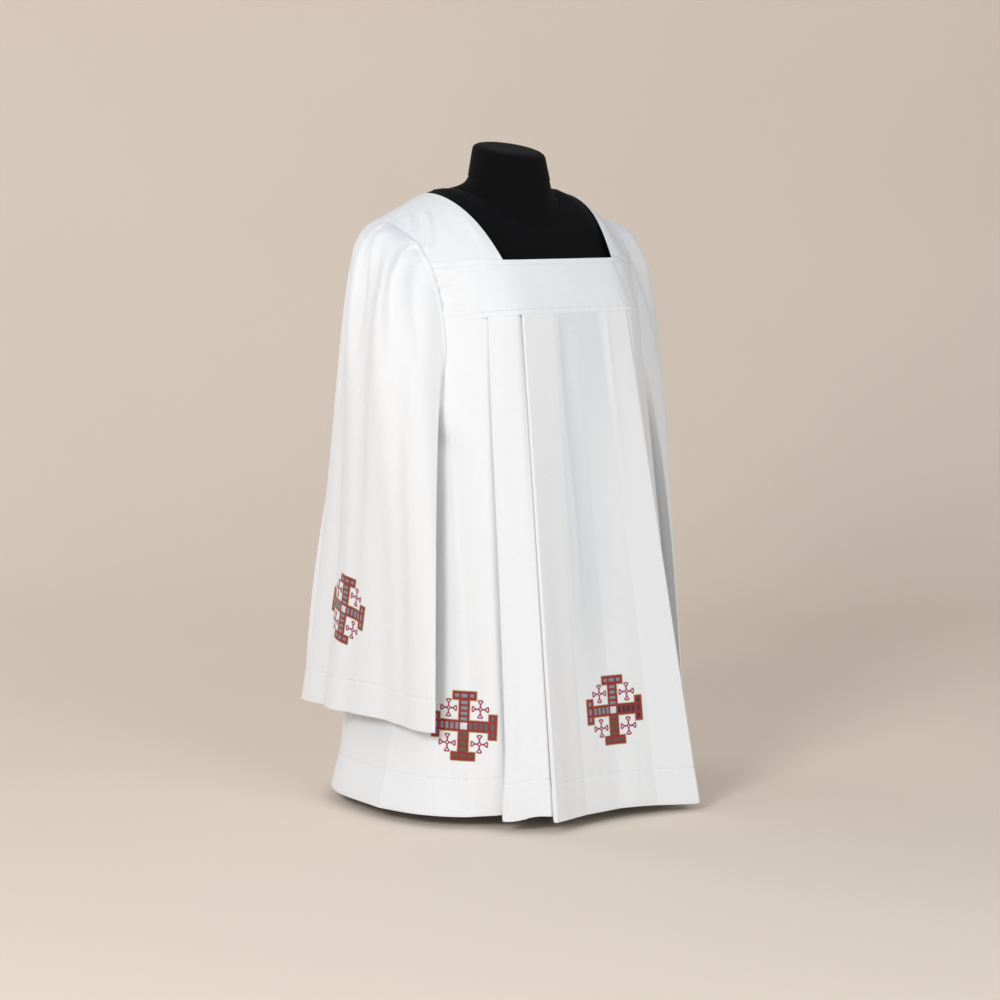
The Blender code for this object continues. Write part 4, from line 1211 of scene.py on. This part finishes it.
def small_cross(centre):
    arm = (
        (((0.000, 0.022), (0.000, 0.072)), 0.026),
        (((0.000, 0.060), (-0.014, 0.088), (-0.040, 0.116)), 0.020),
        (((0.000, 0.060), (0.014, 0.088), (0.040, 0.116)), 0.020),
        (((-0.042, 0.115), (-0.020, 0.125), (0.020, 0.125), (0.042, 0.115)), 0.022),
        (((-0.030, 0.000), (0.000, 0.030)), 0.020),
    )
    strokes = []
    for quarter in range(4):
        for path, width in arm:
            path = [(centre[0] + x, centre[1] + y) for x, y in turned(path, quarter)]
            strokes.append(Stroke("rose", path, width, SMALL_HIGH))
    return strokes


def cross_strokes(cells):
    strokes = big_cross(cells)
    for x in (-SMALL_X, SMALL_X):
        for y in (-SMALL_Y, SMALL_Y):
            strokes += small_cross((x, y))
    return strokes


CROSS_STEP = 0.0016      # length of a face along a stroke
CROSS_LIFT = 0.00006     # of a stroke's edges off the cloth
STROKE_END = 0.45        # a stroke's height at its two ends
CROSS_REACH = 0.05       # how far out a point starts on its way to the cloth
STROKE_PROFILE = (
    (-0.5, 0.0), (-0.42, 0.62), (-0.2, 0.95), (0.0, 1.0), (0.2, 0.95), (0.42, 0.62), (0.5, 0.0))


def stroke_line(stroke):
    """The stroke's own middle line in metres, cut into short steps."""
    path = [Vector(point) * CROSS_TALL for point in stroke.path]
    line = []
    for a, b in zip(path, path[1:]):
        count = max(1, math.ceil((b - a).length / CROSS_STEP))
        line += [a.lerp(b, k / count) for k in range(count)]
    return line + [path[-1]]


def embroider(name, tree, centre, out, up, finishes, cells):
    """The cross laid on the cloth: each point is let down onto it along the way in."""
    out = Vector(out).normalized()
    up = (Vector(up) - Vector(up).dot(out) * out).normalized()
    right = up.cross(out)
    centre = Vector(centre) + Vector(AXIS) + out * CROSS_REACH
    colours = sorted(finishes)
    wide = len(STROKE_PROFILE)
    points, faces, slots, uvs = [], [], [], []
    for stroke in cross_strokes(cells):
        line = stroke_line(stroke)
        laid, run, last = [], 0.0, len(line) - 1
        for k, here in enumerate(line):
            ahead = line[min(k + 1, last)] - line[max(k - 1, 0)]
            side = Vector((-ahead.y, ahead.x)).normalized()
            run += (here - line[k - 1]).length if k else 0.0
            end = STROKE_END if k in (0, last) else 1.0
            for across, high in STROKE_PROFILE:
                flat = here + side * across * stroke.width * CROSS_TALL
                start = centre + right * flat.x + up * flat.y
                place, normal, _, _ = tree.ray_cast(start, -out, 2 * CROSS_REACH)
                if place is not None:
                    place = place + normal * (CROSS_LIFT + stroke.height * high * end)
                    uv = (run + 0.37 * stroke.width, across * stroke.width * CROSS_TALL)
                    laid.append((place - Vector(AXIS), uv))
        if len(laid) < wide * len(line):     # a stroke that runs off the cloth isn't sewn
            continue
        for k in range(last):
            for j in range(wide - 1):
                a = len(points) + k * wide + j
                faces.append((a, a + wide, a + wide + 1, a + 1))
                slots.append(colours.index(stroke.colour))
        points += [tuple(place) for place, uv in laid]
        uvs += [uv for place, uv in laid]
    made = mesh_piece(name, np.array(points), faces, finishes[colours[0]], uvs=uvs, sharp=75)
    for colour in colours[1:]:
        made.data.materials.append(finishes[colour])
    made.data.polygons.foreach_set("material_index", slots)
    return made


# The dress form
Section = namedtuple("Section", "z half_width front back power")
FORM_NECK_ROOT = Section("top", 0.0800, 0.1080, 0.0640, 2.0)
FORM_SHOULDER = Section("top", 0.1860, 0.1180, 0.0980, 2.4)
FORM_BODY = [Section(*row) for row in (
    (0.770, 0.182, 0.1440, 0.1110, 2.4),
    (0.730, 0.171, 0.1560, 0.1150, 2.4),
    (0.680, 0.166, 0.1580, 0.1140, 2.3),
    (0.600, 0.160, 0.1400, 0.1060, 2.2),
    (0.480, 0.142, 0.1020, 0.0900, 2.1),
    (0.360, 0.152, 0.1080, 0.1020, 2.1),
    (0.260, 0.160, 0.1120, 0.1120, 2.1),
    (0.205, 0.154, 0.1060, 0.1060, 2.1),
    (0.190, 0.136, 0.0900, 0.0900, 2.0),
)]
FORM_TOP_MIDDLE_Y, FORM_BODY_MIDDLE_Y = 0.012, 0.005
SLOPE_STEP = 0.001
NECK_RADIUS, NECK_CENTRE_Y = 0.0535, -0.0210
NECK_WAIST_Z, NECK_TOP_FRONT, NECK_TOP_BACK = 0.8940, 0.9220, 0.9470
NECK_WAIST_FLARE, NECK_WAIST_TILT, NECK_SWEEP = 0.0055, 0.10, 2.0
NECK_RIM = ((0.016, 0.0010), (0.010, 0.0004), (0.006, -0.0008), (0.003, -0.0026), (0.0012, -0.0054),
            (0.0004, -0.0090))
FORM_COLUMNS = 144


def ring(half_width, front, back, power, height, centre_y):
    points = []
    for k in range(FORM_COLUMNS):
        angle = 2 * math.pi * k / FORM_COLUMNS
        c, s = math.cos(angle), math.sin(angle)
        x = half_width * math.copysign(abs(c) ** (2 / power), c)
        reach = back if s > 0 else front
        y = centre_y + reach * math.copysign(abs(s) ** (2 / power), s)
        points.append((x, y, height(x, y) if callable(height) else height))
    return points


def form_height(x, y):
    ahead, behind = shoulder_height(x, y + SLOPE_STEP), shoulder_height(x, y - SLOPE_STEP)
    rise = (ahead - behind) / (2 * SLOPE_STEP)
    return shoulder_height(x, y) - FORM_CLEAR * math.hypot(1.0, rise)


def loft(name, rings, finish):
    """A closed body through the rings, from its top to its foot."""
    rings = np.array(rings)
    count, wide = rings.shape[:2]
    points = np.concatenate([rings.reshape(-1, 3), [rings[0].mean(0)], [rings[-1].mean(0)]])
    faces = []
    for r in range(count - 1):
        for c in range(wide):
            n = (c + 1) % wide
            faces.append((r * wide + c, (r + 1) * wide + c, (r + 1) * wide + n, r * wide + n))
    for c in range(wide):
        n = (c + 1) % wide
        faces.append((c, n, count * wide))
        faces.append(((count - 1) * wide + n, (count - 1) * wide + c, count * wide + 1))
    return mesh_piece(name, points, faces, finish, sharp=50)


FORM_ROW = 0.010         # height between two rings of the fine form
TOP_RINGS, EDGE_RINGS = 16, 5
SEAM_X, SEAM_DEPTH, SEAM_WIDTH = 0.088, 0.0009, 0.0022
SEAM_TOP_Z, SEAM_FADE = 0.80, 0.05
NECK_CAP, NECK_CAP_RISE = (0.008, 0.018, 0.028, 0.035), 0.0012
NECK_RINGS, ROOT_RINGS = 6, 12
NECK_SEAM, NECK_SEAM_AT, NECK_SEAM_WIDTH = 0.0008, 0.08, 0.06
ACROSS_ONLY = np.array((1.0, 1.0, 0.0))


def torso_piece(finish):
    rings = []
    for step in range(TOP_RINGS + 1):
        outline = between(FORM_NECK_ROOT[1:], FORM_SHOULDER[1:], step / TOP_RINGS)
        rings.append(ring(*outline, form_height, FORM_TOP_MIDDLE_Y))
    edge = np.array(rings[-1])
    levels = [tuple(section) for section in FORM_BODY]
    start = np.array(ring(*levels[0][1:], levels[0][0], FORM_BODY_MIDDLE_Y))
    rings += [edge + (start - edge) * step / EDGE_RINGS for step in range(1, EDGE_RINGS)]
    for k in range(len(levels) - 1):
        count = max(2, round((levels[k][0] - levels[k + 1][0]) / FORM_ROW))
        for step in range(count):
            z, *outline = curve_at(levels, k + step / count)
            rings.append(ring(*outline, z, FORM_BODY_MIDDLE_Y))
    rings.append(ring(*levels[-1][1:], levels[-1][0], FORM_BODY_MIDDLE_Y))
    rings = np.array(rings)
    inwards = -unit((rings - np.array((0.0, FORM_BODY_MIDDLE_Y, 0.0))) * ACROSS_ONLY)
    groove = bell(np.abs(rings[..., 0]) - SEAM_X, SEAM_WIDTH) * SEAM_DEPTH
    groove *= smooth((SEAM_TOP_Z - rings[..., 2]) / SEAM_FADE)
    return loft("form_body_cover", rings + inwards * groove[..., None], finish)


def neck_ring(radius, rise):
    """A ring of the neck, at a height over its slanting top."""
    def height(x, y):
        share = (y - NECK_CENTRE_Y + NECK_RADIUS) / (2 * NECK_RADIUS)
        return NECK_TOP_FRONT + (NECK_TOP_BACK - NECK_TOP_FRONT) * share + rise

    return ring(radius, radius, radius, 2.0, height, NECK_CENTRE_Y)


def waist_height(x, y):
    return NECK_WAIST_Z + NECK_WAIST_TILT * (y - NECK_CENTRE_Y)


def root_height(x, y):
    return form_height(x, y) + SEAM


def neck_piece(finish):
    rings = [neck_ring(radius, NECK_CAP_RISE) for radius in NECK_CAP]
    rings += [neck_ring(NECK_RADIUS - inset, rise) for inset, rise in NECK_RIM]
    top = np.array(neck_ring(NECK_RADIUS, NECK_RIM[-1][1] - 0.002))
    wide = NECK_RADIUS + NECK_WAIST_FLARE
    waist = np.array(ring(wide, wide, wide, 2.0, waist_height, NECK_CENTRE_Y))
    rings += [top + (waist - top) * step / NECK_RINGS for step in range(NECK_RINGS + 1)]
    root = np.array(ring(*FORM_NECK_ROOT[1:], root_height, FORM_TOP_MIDDLE_Y))
    for step in range(1, ROOT_RINGS + 1):
        share = step / ROOT_RINGS
        sweep = share ** NECK_SWEEP
        line = waist + (root - waist) * np.array((sweep, sweep, share))
        inwards = -unit((line - np.array((0.0, NECK_CENTRE_Y, 0.0))) * ACROSS_ONLY)
        rings.append(line + inwards * NECK_SEAM * bell(share - NECK_SEAM_AT, NECK_SEAM_WIDTH))
    return loft("form_neck_cover", rings, finish)


# The scene
CAMERA_TURN, CAMERA_DISTANCE, CAMERA_HEIGHT = math.radians(-38.0), 4.06, 0.89
CAMERA_DIP = math.atan(320 / 2800)
LENS, SENSOR = 100.8, 36.0
LOOK_AT_Z = 0.45


def build_camera():
    data = bpy.data.cameras.new("camera")
    data.lens, data.sensor_width = LENS, SENSOR
    data.sensor_fit = "HORIZONTAL"
    made = bpy.data.objects.new("camera", data)
    made.location = (
        AXIS[0] + CAMERA_DISTANCE * math.sin(CAMERA_TURN),
        AXIS[1] - CAMERA_DISTANCE * math.cos(CAMERA_TURN),
        CAMERA_HEIGHT,
    )
    made.rotation_euler = (math.pi / 2 - CAMERA_DIP, 0.0, CAMERA_TURN)
    bpy.context.scene.collection.objects.link(made)
    bpy.context.scene.camera = made


Lamp = namedtuple("Lamp", "name place size power colour")
LAMPS = [Lamp(*row) for row in (
    ("key", (-3.4, -1.7, 2.1), 1.3, 66.0, (0.985, 0.99, 1.0)),
    ("front_fill", (-0.2, -3.6, 1.5), 2.4, 27.0, (0.95, 0.98, 1.0)),
    ("rim", (-1.2, 2.8, 2.2), 1.6, 16.0, (1.0, 1.0, 1.0)),
)]
WORLD_COLOUR, WORLD_STRENGTH = (0.90, 0.93, 0.98), 0.45


def build_lights():
    for lamp in LAMPS:
        data = bpy.data.lights.new(lamp.name, "AREA")
        data.shape = "DISK"
        data.size = lamp.size
        data.energy = lamp.power
        data.color = lamp.colour
        made = bpy.data.objects.new(lamp.name, data)
        place = Vector(lamp.place) + Vector(AXIS)
        made.location = place
        target = Vector(AXIS) + Vector((0.0, 0.0, LOOK_AT_Z))
        made.rotation_euler = (target - place).to_track_quat("-Z", "Y").to_euler()
        bpy.context.scene.collection.objects.link(made)
    world = bpy.data.worlds.new("studio")
    world.use_nodes = True
    shade = world.node_tree.nodes["Background"]
    shade.inputs["Color"].default_value = (*WORLD_COLOUR, 1.0)
    shade.inputs["Strength"].default_value = WORLD_STRENGTH
    bpy.context.scene.world = world
    bpy.context.scene.view_settings.view_transform = "Standard"


FLOOR_HALF, FLOOR_NEAR, FLOOR_FAR = 5.0, -4.5, 1.6
FLOOR_SWEEP, SWEEP_STEPS, BACK_HIGH = 1.4, 24, 4.0
STAGE_COLOUR = (0.910, 0.795, 0.680)


def build_stage():
    """A plain pale floor that sweeps up into a backdrop behind the object, as seen by the camera."""
    profile = [(FLOOR_NEAR, 0.0), (0.0, 0.0), (FLOOR_FAR, 0.0)]
    for k in range(1, SWEEP_STEPS + 1):
        angle = math.pi / 2 * k / SWEEP_STEPS
        profile.append((FLOOR_FAR + FLOOR_SWEEP * math.sin(angle), FLOOR_SWEEP * (1.0 - math.cos(angle))))
    profile.append((FLOOR_FAR + FLOOR_SWEEP, BACK_HIGH))
    away = np.array((-math.sin(CAMERA_TURN), math.cos(CAMERA_TURN), 0.0))
    side = np.array((math.cos(CAMERA_TURN), math.sin(CAMERA_TURN), 0.0))
    points = []
    for reach, high in profile:
        for hand in (-FLOOR_HALF, FLOOR_HALF):
            points.append(away * reach + side * hand + np.array((0.0, 0.0, high)))
    faces = [(2 * k, 2 * k + 1, 2 * k + 3, 2 * k + 2) for k in range(len(profile) - 1)]
    floor = mesh_piece("floor", np.array(points), faces, stage_material("pale_floor", STAGE_COLOUR))


def ready(piece, slot, *nodes):
    """The piece rides on the one body and stands for its nodes; its slot is not used."""
    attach(piece, "root")
    if nodes:
        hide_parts(*nodes)
    return piece


def tree_of(piece):
    mesh = piece.data
    return BVHTree.FromPolygons([v.co for v in mesh.vertices], [tuple(p.vertices) for p in mesh.polygons])


build_camera()
build_lights()
build_stage()

cloth = cloth_material()
sewing = thread_material("white_sewing_thread", (0.80, 0.82, 0.84), (0.60, 0.62, 0.65), 0.6)
finishes = {
    "crimson": thread_material("crimson_thread", (0.42, 0.014, 0.028), (0.20, 0.006, 0.014)),
    "rose": thread_material("rose_thread", (0.46, 0.075, 0.135), (0.28, 0.030, 0.070)),
    "teal": thread_material("grey_teal_thread", (0.27, 0.36, 0.38), (0.16, 0.22, 0.23)),
    "green": thread_material("grey_green_thread", (0.11, 0.15, 0.12), (0.06, 0.08, 0.06)),
    "olive": thread_material("olive_thread", (0.12, 0.13, 0.05), (0.06, 0.065, 0.025)),
    "deep": thread_material("deep_green_thread", (0.022, 0.028, 0.022), (0.010, 0.012, 0.010)),
    "white": thread_material("white_satin_thread", (0.85, 0.85, 0.84), (0.66, 0.66, 0.66)),
    "gold": thread_material("gold_thread", (0.62, 0.47, 0.17), (0.42, 0.31, 0.10)),
}
jersey = jersey_material()
steel = steel_material()

# Each cloth piece by the node that it stands for, as its sheet and its shell.
BANDING = 1.4            # the yoke and the shoulder pieces are faced, so they are thicker
sheets, shells = {}, {}


def dress(part, sheet, thickness):
    sheets[part] = sheet
    shells[part] = ready(cloth_piece(sheet, thickness, cloth), "white_cloth", part)


def dress_faced(part, sheet):
    dress(part, sheet, np.full(sheet.grid.shape[:2], CLOTH * BANDING))


for side in ("right", "left"):
    sheet, height = sleeve_sheet(side)
    dress("sleeve_" + side, sheet, hem_thickness(height, SLEEVE_HEM))
for side in ("front", "back"):
    sheet, height = skirt_sheet(side)
    dress(side + "_skirt", sheet, hem_thickness(height, SKIRT_HEM))
for side in ("front", "back"):
    dress_faced(side + "_yoke", band_sheet(side))
for side in ("right", "left"):
    dress_faced("shoulder_" + side, shoulder_sheet(side))

# Stitching: hems, cuffs, the yoke's top and bottom seams, and the neckline over the shoulders.
HEM_STITCH_ROW = HEM_ROWS.index(1.0)
YOKE_STITCH_ROWS = (-7, 6)
NECK_STITCH_COLUMN = 4
sewn = {}


def sew(name, part, *places, closed=False):
    lines = [stitch_line(*sheet_line(sheets[part], **place), closed=closed) for place in places]
    sewn[part] = ready(stitch_piece("stitches_" + name, lines, sewing), "white_cloth")


for side in ("front", "back"):
    sew(side + "_hem", side + "_skirt", {"row": SKIRT_UPPER_ROWS + HEM_STITCH_ROW})
    sew(side + "_yoke", side + "_yoke", *({"row": row} for row in YOKE_STITCH_ROWS))
for side in ("right", "left"):
    part = "sleeve_" + side
    sew(part, part, {"row": SLEEVE_UPPER_ROWS + HEM_STITCH_ROW}, closed=True)
    part = "shoulder_" + side
    sew(part, part, {"column": NECK_STITCH_COLUMN})

# Embroidered crosses: name, cloth, centre, the way out and up, and the cell colours of its arms.
# The skirt's crosses have olive cells on their lower arm and darker green cells on one side arm; the
# sleeves' crosses are teal all over.
CROSSES = (
    ("cross_front_middle", "front_skirt", (0.003, -0.254, 0.153), (0.0, -1.0, 0.14), (0.03, 0.0, 1.0),
     ("teal", "teal", "olive", "deep")),
    ("cross_front_right", "front_skirt", (-0.1935, -0.1655, 0.140), (-0.75, -0.66, 0.10), (0.02, 0.0, 1.0),
     ("teal", "teal", "olive", "green")),
    ("cross_front_left", "front_skirt", (0.1920, -0.1640, 0.140), (0.75, -0.66, 0.10), (-0.02, 0.0, 1.0),
     ("teal", "green", "olive", "teal")),
    ("cross_sleeve_right", "sleeve_right", (-0.254, 0.036, 0.285), (-1.0, -0.15, 0.05), (0.0, -0.20, 1.0),
     ("teal", "teal", "teal", "teal")),
    ("cross_sleeve_left", "sleeve_left", (0.254, 0.030, 0.285), (1.0, -0.15, 0.05), (0.0, -0.20, 1.0),
     ("teal", "teal", "teal", "teal")),
)
trees = {part: tree_of(shells[part]) for part in ("front_skirt", "sleeve_right", "sleeve_left")}
stitched = {part: [sewn[part]] for part in sewn}
for name, part, centre, out, up, cells in CROSSES:
    cross = embroider(name, trees[part], centre, out, up, finishes, cells)
    stitched[part].append(ready(cross, "white_cloth"))

ready(torso_piece(jersey), "black_jersey", "form_torso")
ready(neck_piece(jersey), "black_jersey", "form_neck")
for name in ("stand_base", "stand_pole", "stand_socket"):
    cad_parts[name].data.materials.clear()
    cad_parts[name].data.materials.append(steel)
